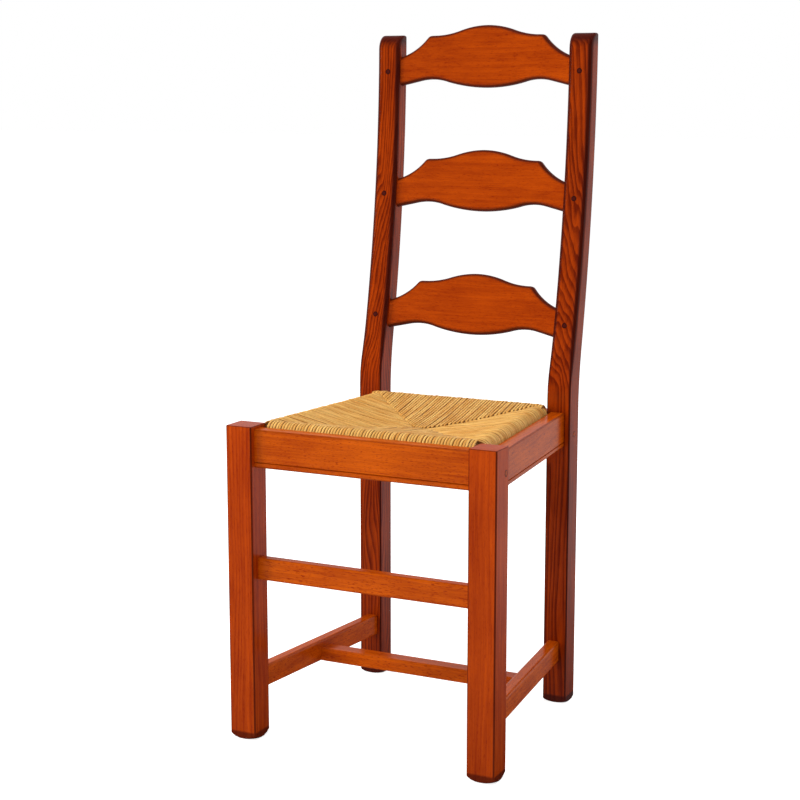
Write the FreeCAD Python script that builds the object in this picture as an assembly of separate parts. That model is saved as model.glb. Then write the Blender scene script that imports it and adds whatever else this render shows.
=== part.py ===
import FreeCAD, Part
import math
import os

V = FreeCAD.Vector
os.makedirs("parts", exist_ok=True)

# Lengths are millimetres. X runs to the right seen from the front, Y runs to the back, Z runs up.
# Inside this file Y starts at the front face of the front legs; export moves it to the middle.

# Overall sizes
FRONT_WIDTH = 412.0
REAR_WIDTH = 350.0
POST_DEPTH_END = 436.0
SEAT_HEIGHT = 457.0
POST_TOP = 1000.0

# Front legs
LEG = 41.0
LEG_EDGE = 2.2
LEG_TOP_EDGE = 1.2
LEG_INNER = FRONT_WIDTH / 2 - LEG

# Turned foot that every leg ends in
FOOT_FLAT_RADIUS = 15.0
FOOT_SHOULDER_RADIUS = 30.0
FOOT_HEIGHT = 13.0
FOOT_BULGE = 2.6

# Rear posts
POST_WIDTH = 37.0
POST_FRONT = 343.0
POST_BACK = 380.5
POST_INNER = REAR_WIDTH / 2 - POST_WIDTH
LEAN_FRONT_RADIUS = 2115.0
LEAN_BACK_RADIUS = 2400.0
LEAN_UPRIGHT_AT = 1010.0
LEAN_FRONT_END = 407.5
KNEE_FRONT_RADIUS = 150.0
KNEE_BACK_RADIUS = 420.0
POST_TOP_ROUND = 21.0
POST_TOP_BACK_ROUND = 3.0
POST_EDGE = 3.6

# Back slats
SLAT_HEIGHTS = {"top_slat": 945.0, "middle_slat": 760.0, "bottom_slat": 575.0}
SLAT_THICKNESS = 16.0
SLAT_BOW_RADIUS = 1080.0
SLAT_CROWN = 69.0
SLAT_BELLY = 24.2
SLAT_END_TOP = 22.0
SLAT_END_RISE = 2.6
SLAT_BLOCK_DEPTH = 60.0
TONGUE_LENGTH = 25.0
TONGUE_OVERLAP = 4.0
TONGUE_HEIGHT = 32.0
TONGUE_THICKNESS = 10.0

# Points of a slat's outline: distance from the middle, and drop below the crown
CROWN_END = (45.0, 8.0)
SHOULDER_MIDDLE = (64.0, 12.9)
SHOULDER_START = (80.0, 14.8)
SHOULDER_CORNER = (94.0, 15.2)
SHOULDER_HOLLOW = (112.0, 33.0)

# Points of a slat's outline: distance from the middle, and rise above the belly
BELLY_END = (62.0, 8.2)
ARCH_MIDDLE = (86.0, 12.4)
ARCH_END = (108.0, 9.9)

# Slat pegs, driven from the front, and apron pegs, driven from the sides
SLAT_PEG_RADIUS = 3.5
SLAT_PEG_LENGTH = 24.0
SLAT_PEG_INSET = 18.5
APRON_PEG_RADIUS = 4.2
APRON_PEG_LENGTH = 30.0
APRON_PEG_FRONT = (31.0, 422.0)
APRON_PEG_REAR = (362.0, 414.0)

# Aprons
APRON_THICKNESS = 20.0
APRON_SET_BACK = 9.0
FRONT_APRON_BOTTOM = 398.0
FRONT_APRON_TOP = 452.5
SIDE_APRON_BOTTOM = 396.0
SIDE_APRON_TOP = 448.0
REAR_APRON_SET_BACK = 6.0
BEAD_HEIGHT = 8.8
BEAD_GROOVE = 2.0
BEAD_ROUND = 3.6
APRON_EDGE = 2.0
APRON_TENON_SHOULDER = 8.0
SIDE_APRON_TENON = (6.0, 16.0)
SIDE_APRON_TENON_LENGTHS = (15.0, 29.0)
FRONT_APRON_TENON = (5.5, 15.5)
FRONT_APRON_TENON_LENGTH = 22.0
REAR_APRON_TENON = (5.0, 15.0)
REAR_APRON_TENON_LENGTH = 9.0

# Stretchers
STRETCHER_HEIGHT = 32.0
STRETCHER_THICKNESS = 18.0
STRETCHER_EDGE = 3.0
FRONT_STRETCHER_BOTTOM = 235.0
FRONT_STRETCHER_SET_BACK = 15.0
SIDE_STRETCHER_BOTTOM = 65.0
SIDE_STRETCHER_SET_BACK = 12.0
CENTRE_STRETCHER_FRONT = 188.0
CENTRE_STRETCHER_WIDTH = 27.0
CENTRE_STRETCHER_HEIGHT = 20.5
STRETCHER_TENON = (4.0, 14.0)
STRETCHER_TENON_SHOULDER = 5.0
SIDE_STRETCHER_TENON_LENGTHS = (20.0, 20.0)
FRONT_STRETCHER_TENON_LENGTH = 24.0
CENTRE_TENON = (6.0, 21.0)
CENTRE_TENON_SHOULDER = 4.0
CENTRE_TENON_LENGTH = 10.0

# Loose seat frame and the rush woven over it
RUSH_TOP = 460.0
RUSH_BOTTOM = 430.0
RUSH_NOSE = (RUSH_TOP - RUSH_BOTTOM) / 2
RUSH_CENTRE_TOP = 436.0
RUSH_CENTRE_BOTTOM = 427.5
RUSH_CENTRE_Y = 200.0
RUSH_FRONT = 31.0
RUSH_REAR = 340.0
RUSH_SIDE_GAP = 1.5
RUSH_SEAM = 8.0
RUSH_SEAM_SPARE = 12.0
RUSH_WRAP = 4.5
LEG_CLEARANCE = (1.0, 1.5)
CREASE_WIDTH = 5.0
CREASE_DEPTH = 2.2
RAIL_WIDTH = 22.0
RAIL_EDGE = 6.0

# Bearers under the seat frame, with their screws
BEARER_WIDTH = 16.0
BEARER_HEIGHT = 18.0
BEARER_END_GAPS = (2.0, 4.0)
BEARER_SCREW_PLACES = (80.0, 190.0, 300.0)
SEAT_SCREW_PLACES = (120.0, 260.0)
SCREW_RADIUS = 2.0
SCREW_HEAD_RADIUS = 4.0
SCREW_HEAD_HEIGHT = 2.6
SCREW_TIP = 6.0
SCREW_POINT_RADIUS = 0.4
BEARER_SCREW_LENGTH = 30.0
SEAT_SCREW_LENGTH = 34.0

# Lengths that only reach past everything before a cut
FAR = 1500.0
BAR_OVERRUN = 300.0

# Step, in degrees, of the points on a bead or a nose
ROUND_STEP = 15


def box(x0, x1, y0, y1, z0, z1):
    """Return a box between two limits on each axis."""
    return Part.makeBox(x1 - x0, y1 - y0, z1 - z0, V(x0, y0, z0))


def prism(points, direction):
    """Return the solid that a closed polygon sweeps along a vector."""
    return Part.Face(Part.makePolygon(list(points) + [points[0]])).extrude(direction)


def wire_prism(edges, direction):
    """Return the solid that a closed run of edges sweeps along a vector."""
    return Part.Face(Part.Wire(edges)).extrude(direction)


def mirrored(shape):
    """Return the shape's mirror image across the chair's middle plane."""
    return shape.mirror(V(0, 0, 0), V(1, 0, 0))


def both(shapes):
    """Return shapes of the right side together with their mirror images."""
    return shapes + [mirrored(shape) for shape in shapes]


def edges_where(shape, test):
    """Return the edges of a shape whose two end points both pass a test."""
    return [e for e in shape.Edges if len(e.Vertexes) == 2 and all(test(v.Point) for v in e.Vertexes)]


def near(value, target):
    """Say whether two lengths are equal within a hundredth."""
    return abs(value - target) < 0.01


# Legs and posts

def foot_waste(centre_x, centre_y):
    """Return the ring that turning takes off a square leg's lower end."""
    low = V(FOOT_FLAT_RADIUS, 0, 0)
    high = V(FOOT_SHOULDER_RADIUS, 0, FOOT_HEIGHT)
    middle = (low + high) * 0.5 + V(FOOT_BULGE, 0, -FOOT_BULGE)
    rim = V(FOOT_SHOULDER_RADIUS, 0, 0)
    edges = [
        Part.LineSegment(rim, low).toShape(),
        Part.Arc(low, middle, high).toShape(),
        Part.LineSegment(high, rim).toShape(),
    ]
    waste = Part.Face(Part.Wire(edges)).revolve(V(0, 0, 0), V(0, 0, 1), 360)
    waste.translate(V(centre_x, centre_y, 0))
    return waste


def front_leg():
    """Return the right front leg before its mortises are cut."""
    half = FRONT_WIDTH / 2
    leg = box(LEG_INNER, half, 0, LEG, 0, SEAT_HEIGHT)
    leg = leg.makeFillet(LEG_EDGE, [e for e in leg.Edges if near(e.Length, SEAT_HEIGHT)])
    top = edges_where(leg, lambda p: near(p.z, SEAT_HEIGHT))
    leg = leg.makeChamfer(LEG_TOP_EDGE, top)
    return leg.cut(foot_waste(half - LEG / 2, LEG / 2))


def lean_y(radius, end, z):
    """Return the depth of a leaning face at a height."""
    return end - radius + math.sqrt(radius ** 2 - (LEAN_UPRIGHT_AT - z) ** 2)


def lean_z(radius, end, y):
    """Return the height at which a leaning face has a depth."""
    return LEAN_UPRIGHT_AT - math.sqrt(radius ** 2 - (y - end + radius) ** 2)


def post_front_y(z):
    """Return the depth of the posts' front face at a height above the knee."""
    return lean_y(LEAN_FRONT_RADIUS, LEAN_FRONT_END, z)


def post_back_y(z):
    """Return the depth of the posts' back face at a height above the knee."""
    return lean_y(LEAN_BACK_RADIUS, POST_DEPTH_END, z)


def post_middle_y(z):
    """Return the depth of the posts' middle at a height above the knee."""
    return (post_front_y(z) + post_back_y(z)) / 2


def lean_arc(radius, end, z0, z1):
    """Return the arc of a leaning face between two heights."""
    heights = (z0, (z0 + z1) / 2, z1)
    return Part.Arc(*[V(0, lean_y(radius, end, z), z) for z in heights]).toShape()


def rear_post():
    """Return the right rear post before its mortises are cut.

    Its faces meet smoothly all round the side outline, so the edge fillet runs the whole way.
    """
    knee_front = lean_z(LEAN_FRONT_RADIUS, LEAN_FRONT_END, POST_FRONT)
    knee_back = lean_z(LEAN_BACK_RADIUS, POST_DEPTH_END, POST_BACK)
    top_front = V(0, post_front_y(POST_TOP), POST_TOP)
    top_back = V(0, post_back_y(POST_TOP), POST_TOP)
    edges = [
        Part.LineSegment(V(0, POST_FRONT, 0), V(0, POST_FRONT, knee_front)).toShape(),
        lean_arc(LEAN_FRONT_RADIUS, LEAN_FRONT_END, knee_front, POST_TOP),
        Part.LineSegment(top_front, top_back).toShape(),
        lean_arc(LEAN_BACK_RADIUS, POST_DEPTH_END, POST_TOP, knee_back),
        Part.LineSegment(V(0, POST_BACK, knee_back), V(0, POST_BACK, 0)).toShape(),
        Part.LineSegment(V(0, POST_BACK, 0), V(0, POST_FRONT, 0)).toShape(),
    ]
    post = wire_prism(edges, V(POST_WIDTH, 0, 0))
    post.translate(V(POST_INNER, 0, 0))
    corners = (
        (KNEE_FRONT_RADIUS, POST_FRONT, knee_front),
        (KNEE_BACK_RADIUS, POST_BACK, knee_back),
        (POST_TOP_ROUND, top_front.y, POST_TOP),
        (POST_TOP_BACK_ROUND, top_back.y, POST_TOP),
    )
    for radius, y, z in corners:
        across = edges_where(post, lambda p: near(p.y, y) and near(p.z, z))
        post = post.makeFillet(radius, across)
    lower_front = [e for e in edges_where(post, lambda p: near(p.y, POST_FRONT)) if e.Length > SEAT_HEIGHT]
    post = post.makeFillet(POST_EDGE, lower_front)
    return post.cut(foot_waste(POST_INNER + POST_WIDTH / 2, (POST_FRONT + POST_BACK) / 2))


# Slats

def slat_outline(depth):
    """Return the scalloped outline of a slat, standing at y = 0, as a block of a given depth."""
    hollow, corner, start, middle, crown_end = [
        (x, SLAT_CROWN - drop)
        for x, drop in (SHOULDER_HOLLOW, SHOULDER_CORNER, SHOULDER_START, SHOULDER_MIDDLE, CROWN_END)]
    belly_end, arch_middle, arch_end = [(x, rise - SLAT_BELLY) for x, rise in (BELLY_END, ARCH_MIDDLE, ARCH_END)]
    end = (POST_INNER, SLAT_END_TOP)
    tail = (POST_INNER, SLAT_END_RISE - SLAT_BELLY)
    right = [
        arc_edge(end, hollow, corner),
        line_edge(corner, start),
        arc_edge(start, middle, crown_end),
        arc_edge(belly_end, arch_middle, arch_end),
        line_edge(arch_end, tail),
        line_edge(end, tail),
    ]
    crown_arc = arc_edge(crown_end, (0.0, SLAT_CROWN), flip(crown_end))
    belly_arc = arc_edge(belly_end, (0.0, -SLAT_BELLY), flip(belly_end))
    wire = Part.Wire(Part.__sortEdges__(both(right) + [crown_arc, belly_arc]))
    block = Part.Face(wire).extrude(V(0, depth, 0))
    block.translate(V(0, -depth / 2, 0))
    return block


def flip(point):
    """Return a point's mirror image in a slat's outline."""
    return (-point[0], point[1])


def line_edge(start, end):
    """Return a straight edge between two points of an outline at y = 0."""
    return Part.LineSegment(V(start[0], 0, start[1]), V(end[0], 0, end[1])).toShape()


def arc_edge(start, middle, end):
    """Return an arc through three points of an outline at y = 0."""
    return Part.Arc(*[V(x, 0, z) for x, z in (start, middle, end)]).toShape()


def bowed_slab(thickness):
    """Return an upright slab bowed backwards, with its ends' middle at y = 0."""
    sagitta = SLAT_BOW_RADIUS - math.sqrt(SLAT_BOW_RADIUS ** 2 - POST_INNER ** 2)
    centre = V(0, sagitta - SLAT_BOW_RADIUS, -FAR / 2)
    outer = Part.makeCylinder(SLAT_BOW_RADIUS + thickness / 2, FAR, centre)
    inner = Part.makeCylinder(SLAT_BOW_RADIUS - thickness / 2, FAR, centre)
    return outer.cut(inner)


def slats(pegs):
    """Return the three slats, drilled for their pegs, and the tongues that the right post takes."""
    bodies, tongues = {}, []
    for name, height in SLAT_HEIGHTS.items():
        plate, right, left = slat_parts(height)
        bodies[name] = plate.fuse([right, left]).removeSplitter().cut(pegs)
        tongues.append(right)
    return bodies, tongues


def slat_parts(height):
    """Return a slat and its two tongues, placed at its height and leaning with the posts."""
    plate = slat_outline(SLAT_BLOCK_DEPTH).common(bowed_slab(SLAT_THICKNESS))
    half, rise = TONGUE_THICKNESS / 2, TONGUE_HEIGHT / 2
    tongue = box(POST_INNER - TONGUE_OVERLAP, POST_INNER + TONGUE_LENGTH, -half, half, -rise, rise)
    slope = (LEAN_UPRIGHT_AT - height) / LEAN_FRONT_RADIUS
    lean = -math.degrees(math.asin(slope))
    placed = []
    for shape in (plate, tongue, mirrored(tongue)):
        shape.rotate(V(0, 0, 0), V(1, 0, 0), lean)
        shape.translate(V(0, post_middle_y(height), height))
        placed.append(shape)
    return placed


# Aprons and stretchers

def side_direction():
    """Return the direction of the right side pieces, which narrow towards the back."""
    run = V(REAR_WIDTH / 2 - FRONT_WIDTH / 2, POST_FRONT - LEG, 0)
    return run.normalize()


def bar(section, start, direction, inward):
    """Return a long bar whose section is given as offsets inward and heights."""
    points = [start - direction * BAR_OVERRUN + inward * n + V(0, 0, z) for n, z in section]
    return prism(points, direction * (BAR_OVERRUN * 3))


def apron_section(bottom, top):
    """Return an apron's section with a bead along its lower edge, as offsets and heights."""
    groove = bottom + BEAD_HEIGHT
    r = BEAD_ROUND
    angles = [math.radians(degrees) for degrees in range(0, 91, ROUND_STEP)]
    bead = [(r * (1 - math.sin(angle)), bottom + r * (1 - math.cos(angle))) for angle in angles]
    face = [(0, groove - BEAD_GROOVE), (BEAD_GROOVE, groove - BEAD_GROOVE / 2), (0, groove)]
    e = APRON_EDGE
    return bead + face + [(0, top - e), (e, top), (APRON_THICKNESS, top), (APRON_THICKNESS, bottom)]


def stretcher_section(width, bottom, height):
    """Return a stretcher's section with eased edges, as offsets and heights."""
    e = STRETCHER_EDGE
    k = e * (1 - math.sqrt(0.5))
    top = bottom + height
    corners = [
        [(0, bottom + e), (k, bottom + k), (e, bottom)],
        [(width - e, bottom), (width - k, bottom + k), (width, bottom + e)],
        [(width, top - e), (width - k, top - k), (width - e, top)],
        [(e, top), (k, top - k), (0, top - e)],
    ]
    return [point for corner in corners for point in corner]


def rectangle(n0, n1, z0, z1):
    """Return a rectangular section as offsets and heights."""
    return [(n0, z0), (n1, z0), (n1, z1), (n0, z1)]


def tenon_section(limits, bottom, top, shoulder):
    """Return a tenon's section between two offsets, with a shoulder below and above."""
    return rectangle(*limits, bottom + shoulder, top - shoulder)


def side_piece(section, tenon, set_back, reach_front, reach_rear):
    """Return a right side piece with its front and rear tenons."""
    direction = side_direction()
    inward = V(-direction.y, direction.x, 0)
    start = V(FRONT_WIDTH / 2 - set_back, LEG, 0)
    body = bar(section, start, direction, inward)
    body = body.common(box(0, FAR, LEG, POST_FRONT, 0, FAR))
    core = bar(tenon, start, direction, inward)
    front = core.common(box(0, FAR, LEG - reach_front, LEG, 0, FAR))
    rear = core.common(box(0, FAR, POST_FRONT, POST_FRONT + reach_rear, 0, FAR))
    return body.fuse([front, rear]).removeSplitter(), front, rear


def cross_piece(section, tenon, front_y, inner, reach):
    """Return a piece that runs across between two legs, with its right tenon."""
    start = V(-BAR_OVERRUN, front_y, 0)
    body = bar(section, start, V(1, 0, 0), V(0, 1, 0)).common(box(-inner, inner, 0, FAR, 0, FAR))
    limits = (inner, inner + reach, 0, FAR, 0, FAR)
    right = bar(tenon, start, V(1, 0, 0), V(0, 1, 0)).common(box(*limits))
    return body.fuse([right, mirrored(right)]).removeSplitter(), right


def inner_plan(set_back, depth):
    """Return the plan between the side pieces at a depth inside their outer faces."""
    direction = side_direction()
    inward = V(-direction.y, direction.x, 0)
    start = V(FRONT_WIDTH / 2 - set_back, LEG, 0) + inward * depth
    low = start - direction * LEG
    high = start + direction * FAR
    points = [low, high, V(-high.x, high.y, 0), V(-low.x, low.y, 0)]
    return prism(points, V(0, 0, FAR))


def centre_stretcher():
    """Return the stretcher between the two side stretchers, with both its tenons."""
    bottom, top = SIDE_STRETCHER_BOTTOM, SIDE_STRETCHER_BOTTOM + CENTRE_STRETCHER_HEIGHT
    section = stretcher_section(CENTRE_STRETCHER_WIDTH, bottom, CENTRE_STRETCHER_HEIGHT)
    tenon = tenon_section(CENTRE_TENON, bottom, top, CENTRE_TENON_SHOULDER)
    start = V(-BAR_OVERRUN, CENTRE_STRETCHER_FRONT, 0)
    body, core = [bar(shape, start, V(1, 0, 0), V(0, 1, 0)) for shape in (section, tenon)]
    body = body.common(inner_plan(SIDE_STRETCHER_SET_BACK, STRETCHER_THICKNESS))
    tenons = core.common(inner_plan(SIDE_STRETCHER_SET_BACK, STRETCHER_THICKNESS - CENTRE_TENON_LENGTH))
    return body.fuse(tenons).removeSplitter(), tenons


def aprons():
    """Return the right, front and rear aprons, with the tenons in the right leg and in the right post."""
    section = apron_section(SIDE_APRON_BOTTOM, SIDE_APRON_TOP)
    tenon = tenon_section(SIDE_APRON_TENON, SIDE_APRON_BOTTOM, SIDE_APRON_TOP, APRON_TENON_SHOULDER)
    side, in_leg, in_post = side_piece(section, tenon, APRON_SET_BACK, *SIDE_APRON_TENON_LENGTHS)
    section = apron_section(FRONT_APRON_BOTTOM, FRONT_APRON_TOP)
    tenon = tenon_section(FRONT_APRON_TENON, FRONT_APRON_BOTTOM, FRONT_APRON_TOP, APRON_TENON_SHOULDER)
    front, front_tenon = cross_piece(section, tenon, APRON_SET_BACK, LEG_INNER, FRONT_APRON_TENON_LENGTH)
    section = rectangle(0, APRON_THICKNESS, SIDE_APRON_BOTTOM, SIDE_APRON_TOP)
    tenon = tenon_section(REAR_APRON_TENON, SIDE_APRON_BOTTOM, SIDE_APRON_TOP, APRON_TENON_SHOULDER)
    rear_y = POST_FRONT + REAR_APRON_SET_BACK
    rear, rear_tenon = cross_piece(section, tenon, rear_y, POST_INNER, REAR_APRON_TENON_LENGTH)
    pieces = {"apron_right": side, "apron_front": front, "apron_rear": rear}
    return pieces, [in_leg, front_tenon], [in_post, rear_tenon]


def stretchers():
    """Return the right, front and centre stretchers, with the tenons in the right leg and in the right post."""
    low, high = SIDE_STRETCHER_BOTTOM, FRONT_STRETCHER_BOTTOM
    section = stretcher_section(STRETCHER_THICKNESS, low, STRETCHER_HEIGHT)
    tenon = tenon_section(STRETCHER_TENON, low, low + STRETCHER_HEIGHT, STRETCHER_TENON_SHOULDER)
    side, in_leg, in_post = side_piece(section, tenon, SIDE_STRETCHER_SET_BACK, *SIDE_STRETCHER_TENON_LENGTHS)
    section = stretcher_section(STRETCHER_THICKNESS, high, STRETCHER_HEIGHT)
    tenon = tenon_section(STRETCHER_TENON, high, high + STRETCHER_HEIGHT, STRETCHER_TENON_SHOULDER)
    front, front_tenon = cross_piece(section, tenon, FRONT_STRETCHER_SET_BACK, LEG_INNER,
                                     FRONT_STRETCHER_TENON_LENGTH)
    centre, centre_tenons = centre_stretcher()
    pieces = {"stretcher_right": side.cut(centre_tenons), "stretcher_front": front, "stretcher_centre": centre}
    return pieces, [in_leg, front_tenon], [in_post]


# Seat frame and rush

def rush_edge(y):
    """Return half the width of the rush seat at a depth."""
    direction = side_direction()
    inward = V(-direction.y, direction.x, 0)
    start = V(FRONT_WIDTH / 2 - APRON_SET_BACK, LEG, 0)
    start += inward * (APRON_THICKNESS + RUSH_SIDE_GAP)
    return start.x + direction.x / direction.y * (y - start.y)


def rush_profile(seam):
    """Return the rush's section: a nose round the rail, then a slope that ends just past the seam."""
    middle = (RUSH_TOP + RUSH_BOTTOM) / 2
    reach = seam + RUSH_SEAM_SPARE
    nose = []
    for degrees in range(90, 271, ROUND_STEP):
        angle = math.radians(degrees)
        nose.append((RUSH_NOSE * (1 + math.cos(angle)), middle + RUSH_NOSE * math.sin(angle)))
    return nose + [(reach, RUSH_CENTRE_BOTTOM), (reach, RUSH_CENTRE_TOP)]


def rush_bars():
    """Return a bar of rush along each edge of the seat, sloping down to the middle."""
    side_seam = (rush_edge(RUSH_CENTRE_Y) - RUSH_SEAM) * side_direction().y
    seams = {"front": RUSH_CENTRE_Y - RUSH_FRONT, "rear": RUSH_REAR - RUSH_CENTRE_Y,
             "right": side_seam, "left": side_seam}
    return {side: seat_bars(rush_profile(seam))[side] for side, seam in seams.items()}


def rail_section():
    """Return the section of a seat frame rail inside the rush."""
    low, high = RUSH_BOTTOM + RUSH_WRAP, RUSH_TOP - RUSH_WRAP
    e, k = RAIL_EDGE, RAIL_EDGE * (1 - math.sqrt(0.5))
    n0, n1 = RUSH_WRAP, RUSH_WRAP + RAIL_WIDTH
    outer = [(n0 + e, low), (n0 + k, low + k), (n0, low + e), (n0, high - e), (n0 + k, high - k), (n0 + e, high)]
    return outer + [(n1, high), (n1, low)]


def seat_bars(section):
    """Return a front, rear, right and left bar with one section along the seat's four edges."""
    direction = side_direction()
    inward = V(-direction.y, direction.x, 0)
    side_start = V(rush_edge(LEG), LEG, 0)
    right = bar(section, side_start, direction, inward)
    front = bar(section, V(-BAR_OVERRUN, RUSH_FRONT, 0), V(1, 0, 0), V(0, 1, 0))
    rear = bar(section, V(-BAR_OVERRUN, RUSH_REAR, 0), V(1, 0, 0), V(0, -1, 0))
    return {"front": front, "rear": rear, "right": right, "left": mirrored(right)}


def seat_plan(margin):
    """Return the seat's outline block, drawn in by a margin and notched round the front legs."""
    points = []
    for y in (RUSH_FRONT + margin, RUSH_REAR - margin):
        points.append(V(rush_edge(y) - margin, y, 0))
    points += [V(-p.x, p.y, 0) for p in reversed(points)]
    plan = prism(points, V(0, 0, FAR))
    beside, behind = LEG_CLEARANCE
    notch = box(LEG_INNER - beside - margin, FAR, 0, LEG + behind + margin, 0, FAR)
    return plan.cut([notch, mirrored(notch)])


def seat_rails():
    """Return the four rails of the seat frame, halved into each other at the corners."""
    plan = seat_plan(RUSH_WRAP)
    bars = {side: shape.common(plan) for side, shape in seat_bars(rail_section()).items()}
    inner = RUSH_WRAP + RAIL_WIDTH
    middle = (RUSH_TOP + RUSH_BOTTOM) / 2
    upper = seat_bars(rectangle(0, inner, middle, RUSH_TOP))
    lower = seat_bars(rectangle(0, inner, RUSH_BOTTOM, middle))
    rails = {side: bars[side].cut([upper["left"], upper["right"]]) for side in ("front", "rear")}
    rails["right"] = bars["right"].cut([lower["front"], lower["rear"]])
    rails["left"] = mirrored(rails["right"])
    return rails


def fan_plans():
    """Return the wedge that each fan of the rush fills, cut along the diagonals."""
    beside, behind = LEG_CLEARANCE
    corner = V(LEG_INNER - beside, LEG + behind, 0)
    rear_corner = V(rush_edge(RUSH_REAR), RUSH_REAR, 0)
    seam = V(RUSH_SEAM, RUSH_CENTRE_Y, 0)
    flipped = [V(-p.x, p.y, 0) for p in (corner, rear_corner, seam)]
    front = [V(corner.x, 0, 0), corner, seam, flipped[2], flipped[0], V(-corner.x, 0, 0)]
    rear = [rear_corner, V(rear_corner.x, FAR, 0), V(-rear_corner.x, FAR, 0), flipped[1], flipped[2], seam]
    right = [corner, V(FAR, corner.y, 0), V(FAR, rear_corner.y, 0), rear_corner, seam]
    wedges = {name: prism(points, V(0, 0, FAR)) for name, points in
              (("front", front), ("rear", rear), ("right", right))}
    wedges["left"] = mirrored(wedges["right"])
    return wedges, (corner, rear_corner, seam)


def creases(corner, rear_corner, seam):
    """Return the shallow grooves where neighbouring fans draw each other in."""
    cutters = []
    for start in (corner, rear_corner):
        low = V(start.x, start.y, RUSH_TOP)
        high = V(seam.x, seam.y, RUSH_CENTRE_TOP)
        run = high - low
        across = V(-run.y, run.x, 0).normalize() * (CREASE_WIDTH / 2)
        points = [low - across, low + across, low - V(0, 0, CREASE_DEPTH)]
        groove = prism(points, run)
        cutters += [groove, mirrored(groove)]
    return cutters


def rush_fans(rails):
    """Return the four fans of rush, open where the seat frame lies inside them."""
    plan = seat_plan(0)
    wedges, corners = fan_plans()
    cutters = creases(*corners) + list(rails.values())
    fans = {}
    for side, body in rush_bars().items():
        fan = body.common(plan).common(wedges[side])
        fans[side] = fan.cut(cutters)
    return fans


# Fasteners

def peg(start, direction, radius, length):
    """Return a plain dowel peg from its head inwards."""
    return Part.makeCylinder(radius, length, start, direction)


def screw(head, direction, length):
    """Return a countersunk wood screw from its head inwards."""
    cone = Part.makeCone(SCREW_HEAD_RADIUS, SCREW_RADIUS, SCREW_HEAD_HEIGHT, head, direction)
    shank_length = length - SCREW_TIP
    shank = Part.makeCylinder(SCREW_RADIUS, shank_length, head, direction)
    tip = Part.makeCone(SCREW_RADIUS, SCREW_POINT_RADIUS, SCREW_TIP, head + direction * shank_length, direction)
    return cone.fuse([shank, tip]).removeSplitter()


def bearer_frame(y, depth):
    """Return a point at a depth inside the right apron's outer face, and the inward direction."""
    direction = side_direction()
    inward = V(-direction.y, direction.x, 0)
    start = V(FRONT_WIDTH / 2 - APRON_SET_BACK, LEG, 0)
    along = direction * ((y - LEG) / direction.y)
    return start + along + inward * depth, inward


def slat_pegs():
    """Return the three slat pegs of the right post."""
    pegs = []
    for height in SLAT_HEIGHTS.values():
        head = V(REAR_WIDTH / 2 - SLAT_PEG_INSET, post_front_y(height), height)
        pegs.append(peg(head, V(0, 1, 0), SLAT_PEG_RADIUS, SLAT_PEG_LENGTH))
    return pegs


def apron_pegs():
    """Return the right apron's front and rear pegs."""
    pegs = []
    for width, (y, z) in ((FRONT_WIDTH, APRON_PEG_FRONT), (REAR_WIDTH, APRON_PEG_REAR)):
        pegs.append(peg(V(width / 2, y, z), V(-1, 0, 0), APRON_PEG_RADIUS, APRON_PEG_LENGTH))
    return pegs


def seat_bearer():
    """Return the right bearer under the seat frame with its screws and the seat's screws."""
    direction = side_direction()
    inward = V(-direction.y, direction.x, 0)
    start = V(FRONT_WIDTH / 2 - APRON_SET_BACK, LEG, 0)
    low = RUSH_BOTTOM - BEARER_HEIGHT
    section = rectangle(APRON_THICKNESS, APRON_THICKNESS + BEARER_WIDTH, low, RUSH_BOTTOM)
    front_gap, rear_gap = BEARER_END_GAPS
    limits = box(0, FAR, LEG + front_gap, POST_FRONT - rear_gap, 0, FAR)
    bearer = bar(section, start, direction, inward).common(limits)
    screws = []
    for y in BEARER_SCREW_PLACES:
        head, towards_middle = bearer_frame(y, APRON_THICKNESS + BEARER_WIDTH)
        head.z = low + BEARER_HEIGHT / 2
        screws.append(screw(head, towards_middle * -1, BEARER_SCREW_LENGTH))
    seat_screws = []
    for y in SEAT_SCREW_PLACES:
        head, _ = bearer_frame(y, APRON_THICKNESS + BEARER_WIDTH / 2)
        head.z = low
        seat_screws.append(screw(head, V(0, 0, 1), SEAT_SCREW_LENGTH))
    return bearer.cut(screws + seat_screws), screws, seat_screws


# Assembly

def seat(screws):
    """Return the seat frame's rails and the fans of rush, drilled for the seat's screws."""
    rails = seat_rails()
    pieces = {"seat_rail_" + side: rail for side, rail in rails.items()}
    pieces.update({"rush_" + side: fan for side, fan in rush_fans(rails).items()})
    return {name: shape.cut(screws) for name, shape in pieces.items()}


def build():
    """Return every piece of the chair by its node name."""
    upper_pegs, lower_pegs = slat_pegs(), apron_pegs()
    apron_pieces, apron_leg_tenons, apron_post_tenons = aprons()
    stretcher_pieces, stretcher_leg_tenons, stretcher_post_tenons = stretchers()
    slat_pieces, tongues = slats(both(upper_pegs))
    bearer, bearer_screws, seat_screws = seat_bearer()

    nodes = {
        "front_leg_right": front_leg().cut(apron_leg_tenons + stretcher_leg_tenons + lower_pegs),
        "rear_post_right": rear_post().cut(
            apron_post_tenons + stretcher_post_tenons + tongues + upper_pegs + lower_pegs),
        "apron_right": apron_pieces.pop("apron_right").cut(lower_pegs + bearer_screws),
        "stretcher_right": stretcher_pieces.pop("stretcher_right"),
        "seat_bearer_right": bearer,
    }
    nodes.update({name.replace("right", "left"): mirrored(shape) for name, shape in list(nodes.items())})
    for group in (slat_pieces, apron_pieces, stretcher_pieces, seat(both(seat_screws))):
        nodes.update(group)
    fasteners = {"slat_pegs": upper_pegs, "apron_pegs": lower_pegs, "bearer_screws": bearer_screws,
                 "seat_screws": seat_screws}
    nodes.update({name: Part.makeCompound(both(shapes)) for name, shapes in fasteners.items()})
    return nodes


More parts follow.
